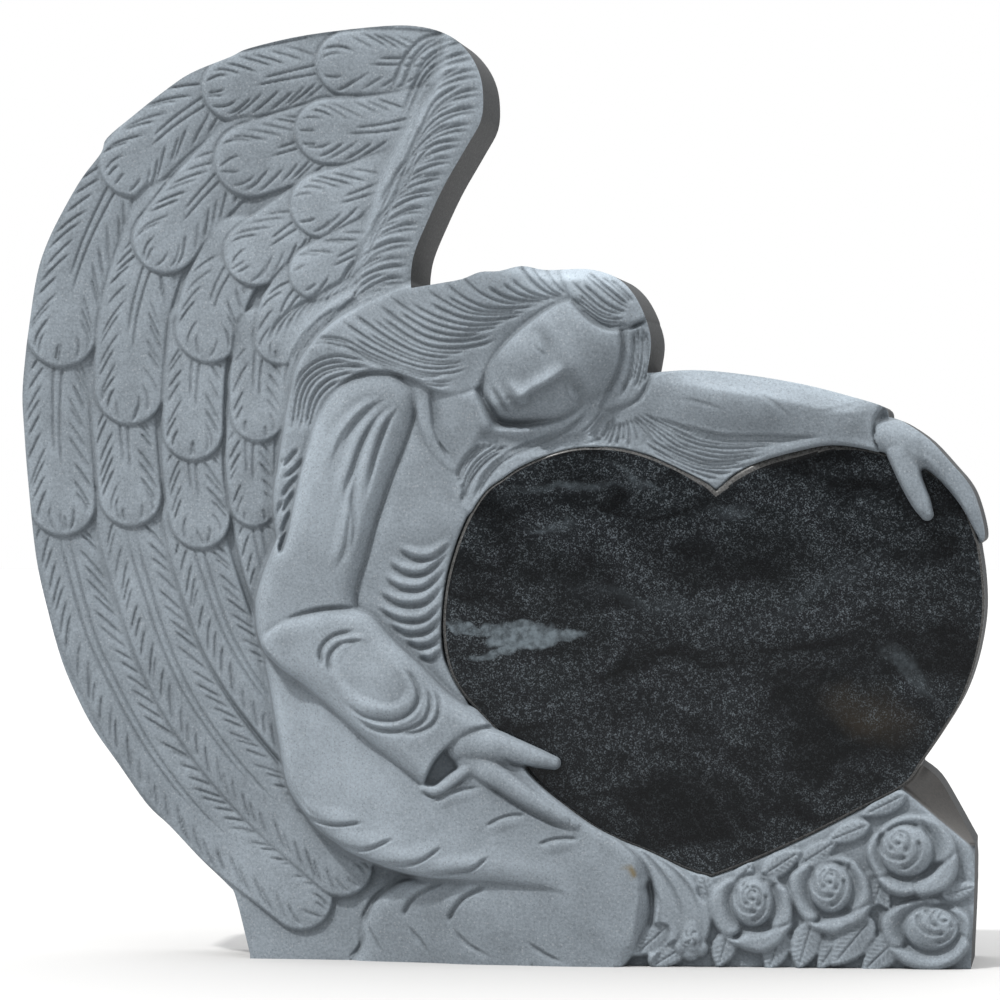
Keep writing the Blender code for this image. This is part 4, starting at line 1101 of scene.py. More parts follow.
    def _sleeve(self, sheet: Sheet) -> None:
        """Carve the near sleeve from the shoulder to the elbow.

        Args:
            sheet: Sheet to carve.
        """
        sheet.patch(
            [(326, 396), (352, 376), (384, 368), (410, 378), (420, 396), (408, 440), (392, 480), (378, 520),
             (366, 560), (356, 596), (362, 626), (346, 650), (300, 660), (264, 650), (255, 610), (262, 575),
             (276, 540), (288, 510), (298, 470), (310, 430)],
            [(380, 392, 174), (345, 440, 181), (398, 410, 172), (338, 500, 185), (315, 560, 187),
             (296, 620, 183), (345, 620, 176), (270, 620, 166), (284, 540, 172), (378, 460, 179),
             (350, 540, 178), (320, 440, 172)], 32, 24, 20)
        for line, width, rise, cut in (
                (((392, 396), (368, 409), (351, 428), (338, 455)), 7, 2.4, 2.4),
                (((398, 399), (377, 418), (362, 441), (353, 466), (345, 490), (342, 520)), 8, 3.4, 3.8),
                (((402, 404), (387, 422), (377, 446), (370, 472), (365, 505)), 8, 4.4, 5.0),
                (((386, 394), (360, 414), (340, 440), (328, 480)), 8, 2.0, 1.8),
                (((352, 500), (348, 528), (344, 550), (336, 572)), 7, 2.4, 2.2),
                (((358, 470), (352, 500), (354, 530), (350, 556)), 7, 2.0, 2.6)):
            sheet.swell([(u - 7, v) for u, v in line], width, rise)
            sheet.stroke(line, 3.2, cut, 0.35, -0.8)
        sheet.swell(
            [(404, 398), (400, 434), (388, 478), (375, 520), (362, 560), (350, 596)], 14, -3.0)

    def _forearm(self, sheet: Sheet) -> None:
        """Carve the forearm, the gathers at its elbow, the open cuff and the near hand.

        Args:
            sheet: Sheet to carve.
        """
        sheet.patch(
            [(262, 642), (282, 622), (312, 610), (345, 607), (371, 614), (396, 641), (424, 668), (446, 690),
             (470, 708), (497, 724), (472, 742), (448, 762), (428, 788), (392, 762), (345, 722), (304, 686),
             (276, 664)],
            [(296, 646, 182), (340, 650, 191), (380, 680, 198), (430, 722, 198), (460, 738, 194),
             (315, 680, 180), (400, 740, 190), (362, 625, 182), (440, 690, 188)], 26, 20, 20,
            fade=(272, 646, 60))
        for arc, deep in (
                (((322, 668), (320, 650), (332, 636), (356, 630)), 4.4),
                (((330, 676), (329, 656), (342, 643), (366, 640)), 4.6),
                (((344, 702), (364, 716), (390, 721), (410, 713), (418, 696), (412, 678), (402, 668)), 4.4),
                (((352, 714), (372, 727), (398, 731), (422, 722), (430, 702), (424, 684)), 4.6),
                (((394, 732), (416, 732), (434, 722), (439, 704), (433, 688)), 4.6)):
            sheet.stroke(arc, 3.0, deep, 0.18, 0.8)
        sheet.swell(
            [(345, 650), (334, 664), (344, 690), (366, 706), (396, 710), (412, 694), (404, 674),
             (384, 656)], 9, 3.4)
        sheet.swell([(336, 648), (350, 640), (372, 638)], 6, 2.4)
        sheet.swell([(352, 712), (380, 724), (412, 716), (424, 696)], 6, 2.4)
        sheet.patch(
            [(425, 784), (433, 764), (448, 747), (468, 733), (494, 725), (494, 731), (476, 740), (460, 752),
             (462, 764), (446, 776), (434, 786)],
            [(436, 772, 168), (480, 732, 176), (450, 758, 166)], 20, 4, 2)
        sheet.limb(
            [(424, 789, 5, 184), (438, 790, 6, 188), (454, 779, 6.5, 189), (470, 767, 6, 188)], flat=0.8)
        sheet.stroke([(420, 790), (434, 797), (452, 788), (470, 775)], 2.6, 4.0, 0.2)

    @staticmethod
    def hand(sheet: Sheet) -> None:
        """Carve the near hand that lies against the heart.

        Args:
            sheet: Sheet to carve.
        """
        for finger in (
                ((470, 758, 17, 188), (490, 772, 13, 195), (514, 788, 10.5, 197), (540, 805, 8.5, 195),
                 (560, 816, 7, 193), (575, 824, 5.5, 190)),
                ((464, 744, 20, 192), (490, 746, 18, 197), (516, 752, 13, 194), (540, 759, 9.5, 191),
                 (554, 763, 7, 188))):
            sheet.limb(finger, flat=0.9)
        sheet.stroke([(500, 757), (514, 764), (534, 768)], 3.0, 5.0, 0.3)
        sheet.stroke([(478, 778), (498, 792), (522, 808), (550, 823), (572, 832)], 2.6, 3.4, 0.25)
        sheet.stroke([(508, 778), (530, 792), (552, 805)], 1.8, 1.0, 0.4)
        sheet.stroke([(566, 816), (570, 822), (569, 828)], 1.6, 2.0, 0.3)
        sheet.stroke([(572, 818), (577, 822), (578, 827)], 1.4, 1.6, 0.3)


class Head:
    """Head laid over on the heart, with calm closed eyes and plain regular features.

    The face stands on its own axes: p across and q from chin to crown, both as shares of the
    head's length. The depth over them is an egg with soft forms added.
    """

    PLACE: ClassVar[Point] = (557, 352, 125)
    LENGTH: ClassVar[float] = 214.0
    ROLL: ClassVar[float] = -57.0
    YAW: ClassVar[float] = 13.0
    PITCH: ClassVar[float] = 8.0
    HALF_WIDTH: ClassVar[float] = 0.36
    HALF_LENGTH: ClassVar[float] = 0.52
    COLUMNS: ClassVar[int] = 145
    ROWS: ClassVar[int] = 209
    SHALLOWEST: ClassVar[float] = 0.06
    LOWEST: ClassVar[float] = 6.0
    OVERHEAD: ClassVar[float] = 900.0
    FORMS: ClassVar[tuple[tuple[float, float, float, float, float], ...]] = (
        (0.0, -0.44, 0.10, 0.08, 0.030), (0.0, 0.09, 0.20, 0.05, 0.012),
        (-0.145, 0.010, 0.080, 0.050, -0.036), (0.145, 0.010, 0.080, 0.050, -0.036),
        (-0.145, -0.010, 0.056, 0.034, 0.030), (0.145, -0.010, 0.056, 0.034, 0.030),
        (-0.19, -0.13, 0.09, 0.08, 0.016), (0.19, -0.13, 0.09, 0.08, 0.016),
        (0.0, -0.205, 0.038, 0.040, 0.058), (0.0, -0.11, 0.030, 0.080, 0.046),
        (0.0, -0.03, 0.028, 0.060, 0.024), (-0.044, -0.215, 0.020, 0.020, 0.022),
        (0.044, -0.215, 0.020, 0.020, 0.022), (0.0, -0.288, 0.070, 0.014, 0.020),
        (0.0, -0.262, 0.012, 0.020, -0.008), (0.0, -0.338, 0.058, 0.020, 0.026),
        (0.0, -0.380, 0.070, 0.018, -0.014), (0.0, -0.30, 0.13, 0.09, 0.014))

    def depth(self, p: Array, q: Array) -> Array:
        """Shape the face.

        Args:
            p: Places across it.
            q: Places from chin to crown.

        Returns:
            Height over the plane through its middle, as a share of its length.
        """
        wide = 0.345 - 0.10 * smooth((-q - 0.08) / 0.45)
        egg = np.clip(1.0 - (p / wide) ** 2 - (q / 0.5) ** 2, 0.0, 1.0)
        z = 0.335 * np.sqrt(egg)
        soft = np.minimum(1.0, egg * 4.0)
        for p0, q0, sp, sq, size in self.FORMS:
            z = z + soft * size * np.exp(-((p - p0) / sp) ** 2 - ((q - q0) / sq) ** 2)
        for side in (-1, 1):
            away = p - side * 0.145
            lid = -0.028 + 6.0 * away ** 2
            z = z - 0.011 * soft * np.exp(-((q - lid) / 0.006) ** 2) * smooth(
                (0.072 - np.abs(away)) / 0.02)
            fold = 0.022 - 4.0 * away ** 2
            z = z - 0.005 * soft * np.exp(-((q - fold) / 0.008) ** 2) * smooth(
                (0.070 - np.abs(away)) / 0.03)
        mouth = -0.311 - 0.6 * p ** 2
        return z - 0.013 * soft * np.exp(-((q - mouth) / 0.006) ** 2) * smooth(
            (0.078 - np.abs(p)) / 0.03)

    def carve(self, sheet: Sheet) -> None:
        """Turn the head into place and lay it on the sheet.

        Args:
            sheet: Sheet to carve.
        """
        p, q = np.meshgrid(np.linspace(-self.HALF_WIDTH, self.HALF_WIDTH, self.COLUMNS),
                           np.linspace(-self.HALF_LENGTH, self.HALF_LENGTH, self.ROWS))
        shape = self.depth(p, q)
        points = np.stack([p, q, shape], axis=-1).reshape(-1, 3) * self.LENGTH
        turn = (Matrix.Rotation(math.radians(self.ROLL), 3, 'Z')
                @ Matrix.Rotation(math.radians(self.YAW), 3, 'Y')
                @ Matrix.Rotation(math.radians(self.PITCH), 3, 'X'))
        points = points @ np.array(turn).T
        points[:, 1] *= -1.0
        points += np.array(self.PLACE)
        cols = self.COLUMNS
        solid = shape > self.SHALLOWEST
        faces = [(j * cols + i, j * cols + i + 1, (j + 1) * cols + i + 1, (j + 1) * cols + i)
                 for j in range(self.ROWS - 1) for i in range(cols - 1)
                 if solid[j:j + 2, i:i + 2].all()]
        tree = BVHTree.FromPolygons([tuple(c) for c in points], faces)
        win, u, v = sheet.window(points[:, :2], 2)
        cast = np.full(u.shape, -1.0)
        for j in range(u.shape[0]):
            for i in range(u.shape[1]):
                hit = tree.ray_cast(Vector((u[j, i], v[j, i], self.OVERHEAD)), Vector((0, 0, -1)))[0]
                if hit is not None:
                    cast[j, i] = hit.z
        sheet.lay(win, cast, np.where(cast > self.PLACE[2] + self.LOWEST, 1.0, 0.0), over=True)


class Hair:
    """Long hair: swept back from the parting, over the shoulder, and fanned under the head."""

    SWEPT: ClassVar[Lines] = (
        ((546, 258), (554, 272), (562, 286), (572, 298)),
        ((520, 258), (534, 278), (550, 292), (570, 299)),
        ((496, 264), (510, 284), (532, 296), (568, 300)),
        ((466, 270), (482, 288), (508, 300), (540, 302), (566, 301)),
        ((436, 278), (458, 298), (486, 309), (522, 308), (552, 303)),
        ((412, 286), (436, 302), (464, 315), (500, 317), (534, 311)),
        ((390, 292), (416, 310), (444, 322), (474, 327), (506, 323), (526, 316)),
        ((378, 300), (402, 320), (430, 336), (460, 339), (490, 334), (510, 327)),
        ((364, 306), (392, 328), (420, 345), (447, 350), (476, 347), (500, 340)),
        ((350, 314), (384, 338), (416, 354), (447, 359), (472, 356), (492, 350)),
        ((334, 322), (364, 342), (394, 357), (422, 366), (450, 366), (482, 359)),
        ((324, 332), (350, 344), (372, 356), (399, 366), (425, 374), (452, 374), (478, 368)),
        ((328, 344), (350, 350), (367, 361), (393, 371), (423, 379), (450, 379), (472, 375)),
        ((372, 370), (397, 374), (423, 384), (444, 389), (468, 385)))
    DRAPED: ClassVar[Lines] = (
        ((380, 363), (355, 357), (335, 354), (313, 361), (299, 375), (292, 394), (288, 420), (281, 452)),
        ((373, 368), (350, 365), (330, 366), (310, 376), (300, 393), (296, 416), (290, 448)),
        ((370, 371), (347, 371), (324, 379), (311, 396), (306, 418), (300, 446)),
        ((360, 375), (338, 386), (322, 402), (314, 422), (306, 446)))
    FRINGE: ClassVar[Lines] = (
        ((284, 372), (300, 352), (322, 344), (352, 352), (380, 363)),
        ((300, 348), (322, 336), (346, 338), (366, 350)))
    BED: ClassVar[Line] = (
        (398, 290, 30, 152), (352, 314, 38, 154), (316, 346, 36, 152), (298, 392, 30, 148),
        (288, 450, 22, 145), (282, 510, 18, 142), (276, 552, 12, 140))
    FALL: ClassVar[Lines] = (
        ((404, 280), (380, 284), (356, 296), (338, 312)),
        ((388, 290), (360, 300), (336, 316), (316, 338)),
        ((352, 302), (326, 318), (304, 344), (292, 376)),
        ((330, 308), (306, 330), (288, 362), (280, 400)))
    TAILS: ClassVar[Lines] = (
        ((300, 447), (291, 458), (281, 470)), ((307, 456), (295, 470), (282, 480)),
        ((301, 474), (289, 487), (281, 500)), ((297, 489), (288, 503), (281, 516)),
        ((292, 509), (286, 523), (281, 538)), ((288, 528), (283, 542), (279, 556)),
        ((285, 456), (279, 468), (274, 482)), ((284, 498), (278, 512), (274, 526)))
    CROWN: ClassVar[Lines] = (
        ((572, 300), (592, 319), (611, 328), (636, 322)),
        ((568, 293), (586, 307), (606, 319), (635, 319)),
        ((566, 281), (584, 298), (604, 313), (634, 316)),
        ((577, 272), (594, 288), (614, 304), (635, 314)),
        ((590, 271), (607, 284), (624, 298), (637, 311)),
        ((606, 273), (620, 284), (632, 297), (640, 309)))
    LOCK: ClassVar[Lines] = (
        ((644, 322), (650, 345), (649, 372), (640, 397)),
        ((638, 322), (641, 348), (637, 375), (628, 400)),
        ((633, 324), (632, 350), (627, 376), (617, 400)))
    FAN: ClassVar[Lines] = (
        ((592, 402), (572, 422), (540, 438), (510, 450), (488, 468), (474, 490), (463, 518)),
        ((600, 402), (580, 424), (546, 443), (514, 456), (496, 470), (481, 492), (470, 518)),
        ((606, 402), (590, 424), (572, 438)), ((612, 406), (602, 428), (586, 443)),
        ((618, 411), (612, 432), (602, 446)), ((623, 413), (624, 434), (622, 448)),
        ((628, 413), (642, 432), (655, 450)),
        ((634, 412), (664, 430), (694, 448), (722, 456)),
        ((642, 408), (682, 424), (722, 434), (766, 432)))
    UNDER: ClassVar[Lines] = (
        ((606, 424), (582, 434), (552, 438), (516, 444)),
        ((610, 432), (586, 441), (556, 445), (522, 453)),
        ((612, 440), (590, 446), (562, 450), (530, 460)))
    SPRAY: ClassVar[Lines] = (
        ((610, 414), (604, 430), (594, 446)), ((618, 416), (616, 434), (610, 450)),
        ((628, 416), (634, 434), (634, 452)), ((636, 414), (652, 432), (664, 452)))
    CHIN: ClassVar[Lines] = (
        ((520, 449), (498, 456), (480, 472), (468, 492), (462, 520)),
        ((500, 443), (480, 455), (468, 470), (460, 492)),
        ((486, 440), (470, 452), (460, 466), (455, 486)))

    def back(self, sheet: Sheet) -> None:
        """Lay the hair behind and below the head.

        Args:
            sheet: Sheet to carve.
        """
        sheet.patch(
            [(455, 470), (485, 425), (530, 420), (575, 400), (600, 330), (630, 300), (652, 320), (652, 352),
             (648, 378), (660, 392), (700, 412), (680, 440), (640, 462), (594, 462), (560, 464), (526, 480),
             (496, 502), (478, 522), (452, 506)],
            [(470, 480, 167), (520, 450, 168), (570, 435, 168), (620, 425, 168), (640, 350, 168),
             (630, 385, 168), (660, 425, 164)], 28, 8, 0, soft=10)
        sheet.strands(self.FAN[:2], 3, 2.6, 4.2, 0.12)
        sheet.strands(self.FAN[2:7], 3, 2.4, 4.2, 0.2)
        sheet.strands(self.CHIN, 3, 2.8, 5.2, 0.12)
        sheet.swell([(474, 424), (492, 438), (520, 444), (556, 440), (592, 426)], 13, -7.0)

    def front(self, sheet: Sheet) -> None:
        """Lay the hair over the top of the head, the shoulder and the back.

        Args:
            sheet: Sheet to carve.
        """
        sheet.limb(self.BED, flat=0.4, soft=22.0)
        sheet.strands(self.FALL, 4, 2.5, 3.4, 0.2)
        self._swept(sheet)
        self._far_side(sheet)

    def _swept(self, sheet: Sheet) -> None:
        """Lay the broad mass that runs from the parting over the shoulder.

        Args:
            sheet: Sheet to carve.
        """
        sheet.patch(
            [(404, 284), (441, 276), (480, 264), (522, 258), (556, 262), (574, 280), (574, 298), (553, 308),
             (530, 324), (510, 342), (494, 361), (486, 376), (478, 390), (458, 397), (432, 391), (408, 379),
             (386, 373), (364, 374), (344, 384), (328, 402), (316, 424), (308, 450), (298, 490), (288, 540),
             (278, 552), (272, 500), (280, 445), (288, 400), (296, 366), (316, 336), (346, 312),
             (378, 296)],
            [(560, 280, 184), (520, 285, 187), (478, 305, 186), (440, 332, 184), (400, 330, 178),
             (360, 345, 174), (320, 376, 166), (298, 430, 161), (288, 490, 159), (430, 300, 174),
             (380, 308, 162), (282, 540, 158), (440, 370, 182), (552, 302, 176), (525, 318, 169),
             (502, 338, 167), (484, 360, 167), (474, 382, 170)], 22, 7, 5, soft=3, fade=(300, 300, 90))
        sheet.strands(self.SWEPT, 2, 2.5, 3.8, 0.14)
        sheet.strands(self.FRINGE, 3, 2.4, 3.4, 0.2)
        sheet.strands(self.DRAPED, 2, 3.0, 4.8, 0.14)
        for tail in self.TAILS:
            sheet.stroke(tail, 3.0, 4.6, 0.3, 0.5)

    def _far_side(self, sheet: Sheet) -> None:
        """Lay the hair over the crown, the knot behind the ear and the lock that hangs from it.

        Args:
            sheet: Sheet to carve.
        """
        sheet.patch(
            [(620, 322), (634, 314), (646, 318), (655, 334), (655, 358), (650, 382), (640, 400), (622, 408),
             (600, 410), (606, 394), (616, 372), (621, 346)],
            [(628, 340, 180), (646, 350, 168), (628, 375, 176), (612, 400, 168), (640, 385, 164)], 16, 9, 8)
        sheet.strands(self.LOCK, 3, 2.6, 4.4, 0.15)
        sheet.patch(
            [(556, 262), (586, 262), (613, 268), (631, 283), (644, 304), (648, 320), (636, 326), (614, 331),
             (592, 323), (574, 305), (566, 290)],
            [(580, 288, 188), (606, 298, 187), (634, 312, 178)], 20, 9, 9)
        sheet.strands(self.CROWN, 2, 2.5, 3.8, 0.16)
        sheet.stroke([(628, 330), (640, 323), (650, 318)], 3.4, 7.0, 0.3)
        sheet.swell(
            [(470, 268), (522, 258), (556, 261), (590, 260), (618, 268), (638, 284), (650, 306)], 20, -12.0)


class FarArm:
    """Arm laid along the top of the heart, its sleeve, and the hand over the heart's edge."""

    GUIDES: ClassVar[Lines] = (
        ((656, 412), (690, 424), (722, 434), (762, 434), (812, 436), (850, 436)),
        ((644, 416), (676, 434), (706, 444), (738, 446), (778, 443), (812, 443)),
        ((634, 426), (660, 444), (690, 458), (714, 464), (744, 460), (776, 452)),
        ((640, 446), (668, 462), (698, 476), (716, 482), (734, 474)))

    def carve(self, sheet: Sheet) -> None:
        """Carve the sleeve with its hanging folds, then the hand.

        Args:
            sheet: Sheet to carve.
        """
        sheet.patch(
            [(618, 396), (648, 372), (693, 364), (741, 366), (802, 378), (853, 391), (884, 401), (880, 424),
             (884, 458), (860, 452), (831, 449), (800, 455), (765, 465), (738, 478), (716, 496), (690, 480),
             (651, 462), (622, 454), (600, 448), (590, 430)],
            [(620, 425, 162), (660, 395, 176), (760, 398, 186), (850, 415, 184), (700, 452, 166),
             (716, 485, 158), (640, 445, 162), (790, 438, 174), (850, 440, 176), (600, 440, 160),
             (700, 400, 182), (700, 425, 176)], 24, 10, 5, soft=6)
        sheet.swell([(650, 396), (700, 394), (770, 402), (840, 416), (884, 424)], 34, 6.0)
        sheet.swell(
            [(636, 374), (693, 366), (741, 370), (802, 380), (853, 393), (878, 400)], 24, -16.0)
        sheet.strands(self.GUIDES, 4, 2.5, 4.0, 0.18)
        for line, cut in (
                (((755, 393), (774, 402), (792, 420)), 1.6), (((815, 413), (840, 408), (862, 402)), 1.4),
                (((672, 398), (700, 402), (730, 412)), 1.2)):
            sheet.stroke(line, 2.6, cut, 0.4, 0.8)
        sheet.stroke([(884, 408), (876, 416), (874, 430), (878, 448), (886, 456)], 3.0, 6.0, 0.2)

    @staticmethod
    def hand(sheet: Sheet) -> None:
        """Carve the far hand that hangs over the heart's edge.

        Args:
            sheet: Sheet to carve.
        """
        for part in (
                ((884, 436, 16, 182), (900, 440, 20, 187), (914, 452, 20, 188)),
                ((902, 452, 16, 188), (911, 480, 12, 190), (921, 502, 10, 188), (927, 514, 7, 184)),
                ((914, 444, 19, 188), (938, 460, 15, 186), (956, 480, 13, 184), (970, 506, 8.5, 180),
                 (979, 528, 6, 172), (982, 537, 4.5, 168))):
            sheet.limb(part, flat=0.9)
        sheet.stroke([(926, 474), (935, 478), (948, 488), (962, 508), (972, 530)], 2.6, 4.0, 0.3)
        sheet.stroke([(919, 511), (927, 517), (935, 516)], 1.6, 1.8, 0.3)
        sheet.swell([(918, 452), (930, 462), (944, 478)], 5, 1.5)


class Figure:
    """Kneeling figure leaning over the heart, with the flowers that lie before its knee."""

    def __init__(self, heart: HeartShape) -> None:
        """Take the heart that the hands lie on."""
        self.heart = heart

    def carve(self, sheet: Sheet) -> None:
        """Carve the figure from the far parts to the near ones.

        Args:
            sheet: Sheet to carve.
        """
        hair = Hair()
        Dress().carve(sheet)
        self._neck(sheet)
        hair.back(sheet)
        FarArm().carve(sheet)
        sheet.strands(Hair.FAN[6:], 4, 2.5, 4.0, 0.2)
        Head().carve(sheet)
        sheet.strands(Hair.UNDER, 3, 2.4, 3.6, 0.2)
        sheet.strands(Hair.SPRAY, 3, 2.4, 3.6, 0.2)
        hair.front(sheet)
        Blooms().carve(sheet)
        self.heart.sink(sheet)
        Dress.hand(sheet)
        FarArm.hand(sheet)

    @staticmethod
    def _neck(sheet: Sheet) -> None:
        """Carve the neck and the band of the gown around it.

        Args:
            sheet: Sheet to carve.
        """
        sheet.patch(
            [(418, 384), (440, 372), (475, 372), (505, 430), (490, 470), (470, 492), (456, 474), (440, 440),
             (430, 410)],
            [(435, 395, 169), (460, 410, 174), (470, 460, 166), (490, 430, 172), (484, 400, 180)], 24, 8, 0,
            soft=16)
        sheet.stroke(
            [(433, 386), (430, 398), (430, 412), (434, 434), (444, 450), (452, 456)], 2.2, 3.4, 0.2, 0.6)
        sheet.stroke([(438, 460), (448, 466), (462, 472)], 1.8, 2.2, 0.3, 0.6)
        sheet.limb(
            [(414, 374, 12, 170), (421, 388, 10, 172), (423, 404, 8, 172), (427, 430, 7, 171),
             (438, 454, 6, 169), (452, 468, 5, 167)], flat=0.6)


class Face(Enum):
    """Material slots of the carved block."""

    FROSTED = 0
    HONED = 1


@dataclass(frozen=True)
class BlockBuilder:
    """Turns the carved sheet into closed solids."""

    setting: Setting
    snap: float = 0.0012
    rim_gap: float = 0.4
    painted_shade_reach: float = 5.0
    painted_shade_depth: float = 6.0
    sharp: float = math.radians(35)

    def surface(self, sheet: Sheet, height: Array, region: Array) -> bpy.types.Mesh:
        """Make the open carved surface, its rim drawn onto the outline.

        Args:
            sheet: Carved sheet.
            height: Height at each place.
            region: Places that this surface holds.

        Returns:
            A mesh with the surface, its painted shade and light values, its stains and its gloss.
        """
        path = curve(OUTLINE, 4, closed=True)
        gap, where, _ = nearest(sheet.u, sheet.v, path)
        core = inside(sheet.u, sheet.v, path) & (gap > self.rim_gap * sheet.step)
        grown = core.copy()
        for j in (-1, 0, 1):
            for i in (-1, 0, 1):
                grown |= np.roll(np.roll(core, j, axis=0), i, axis=1)
        rim = grown & ~core
        index = np.arange(len(path))
        u = np.where(rim, np.interp(where, index, path[:, 0]), sheet.u)
        v = np.where(rim, np.interp(where, index, path[:, 1]), sheet.v)
        rows, cols = sheet.u.shape
        height = np.where(rim, sheet.sampled(height, u, v), height)
        bm = bmesh.new()
        bmesh.ops.create_grid(bm, x_segments=cols - 1, y_segments=rows - 1, size=1.0)
        mesh = bpy.data.meshes.new("surface")
        bm.to_mesh(mesh)
        bm.free()
        places = np.stack(self.setting.place(u, v, height), axis=-1)
        mesh.vertices.foreach_set("co", places.astype(np.float32).ravel())
        # Height less its blurred height, low in grooves and hollows and high on crests: the frosted granite
        # paints shade and light from it.
        hollow = (height - blurred(height, self.painted_shade_reach / sheet.step)) / self.painted_shade_depth
        for name, values in (("hollow", hollow), ("stain", sheet.stain), ("gloss", sheet.gloss)):
            layer = mesh.attributes.new(name, 'FLOAT', 'POINT')
            layer.data.foreach_set("value", np.clip(values, -1.0, 1.0).astype(np.float32).ravel())
        cells = core[:-1, :-1] | core[1:, :-1] | core[:-1, 1:] | core[1:, 1:]
        keep = (cells & region[:-1, :-1]).ravel()
        bm = bmesh.new()
        bm.from_mesh(mesh)
        bmesh.ops.delete(bm, geom=[f for f in bm.faces if not keep[f.index]], context='FACES')
        bm.to_mesh(mesh)
        bm.free()
        return mesh

    @staticmethod
    def thin(mesh: bpy.types.Mesh, triangles: int) -> bpy.types.Mesh:
        """Keep fewer triangles, most of them where the carving turns.

        Args:
            mesh: Dense surface.
            triangles: How many to keep.

        Returns:
            The lighter surface.
        """
        facets = sum(len(p.vertices) - 2 for p in mesh.polygons)
        helper = bpy.data.objects.new("thinning", mesh)
        bpy.context.scene.collection.objects.link(helper)
        decimate = helper.modifiers.new("Decimate", 'DECIMATE')
        decimate.ratio = min(1.0, triangles / facets)
        decimate.use_collapse_triangulate = True
        depsgraph = bpy.context.evaluated_depsgraph_get()
        result = bpy.data.meshes.new_from_object(helper.evaluated_get(depsgraph))
        bpy.data.objects.remove(helper)
        return result

    @staticmethod
    def fill(bm: bmesh.types.BMesh, normal: Point) -> None:
        """Close the open loops with a flat honed face.

        Args:
            bm: Mesh with open loops in one plane.
            normal: Way that the new face looks.
        """
        edges = [e for e in bm.edges if e.is_boundary]
        filled = bmesh.ops.triangle_fill(bm, use_beauty=True, edges=edges, normal=normal)["geom"]
        for face in (g for g in filled if isinstance(g, bmesh.types.BMFace)):
            face.material_index = Face.HONED.value

    def close(self, mesh: bpy.types.Mesh, share: Share) -> bpy.types.Object:
        """Give the surface walls, a flat back and a flat underside.

        Args:
            mesh: Carved surface.
            share: Piece that it belongs to.

        Returns:
            The closed piece, linked to the scene.
        """
        bm = bmesh.new()
        bm.from_mesh(mesh)
        front = set(bm.faces)
        rim = [e for e in bm.edges if e.is_boundary]
        made = bmesh.ops.extrude_edge_only(bm, edges=rim)["geom"]
        for vert in (g for g in made if isinstance(g, bmesh.types.BMVert)):
            vert.co.y = self.setting.back - share.inset
        for face in bm.faces:
            face.material_index = Face.FROSTED.value if face in front else Face.HONED.value
        self.fill(bm, (0, 1, 0))
        for vert in bm.verts:
            if abs(vert.co.z) < self.snap:
                vert.co.z = 0.0
        bmesh.ops.bisect_plane(bm, geom=bm.verts[:] + bm.edges[:] + bm.faces[:], dist=1e-5,
                               plane_co=(0, 0, 0), plane_no=(0, 0, -1), clear_outer=True)
        self.fill(bm, (0, 0, -1))
        bmesh.ops.recalc_face_normals(bm, faces=bm.faces[:])
        for face in bm.faces:
            face.smooth = True
        for edge in bm.edges:
            slots = {f.material_index for f in edge.link_faces}
            turn = edge.calc_face_angle(0.0) > self.sharp
            edge.smooth = not (len(slots) > 1 or (turn and slots == {Face.HONED.value}))
        result = bpy.data.meshes.new(share.name)
        bm.to_mesh(result)
        bm.free()
        piece = bpy.data.objects.new(share.name, result)
        bpy.context.scene.collection.objects.link(piece)
        return piece


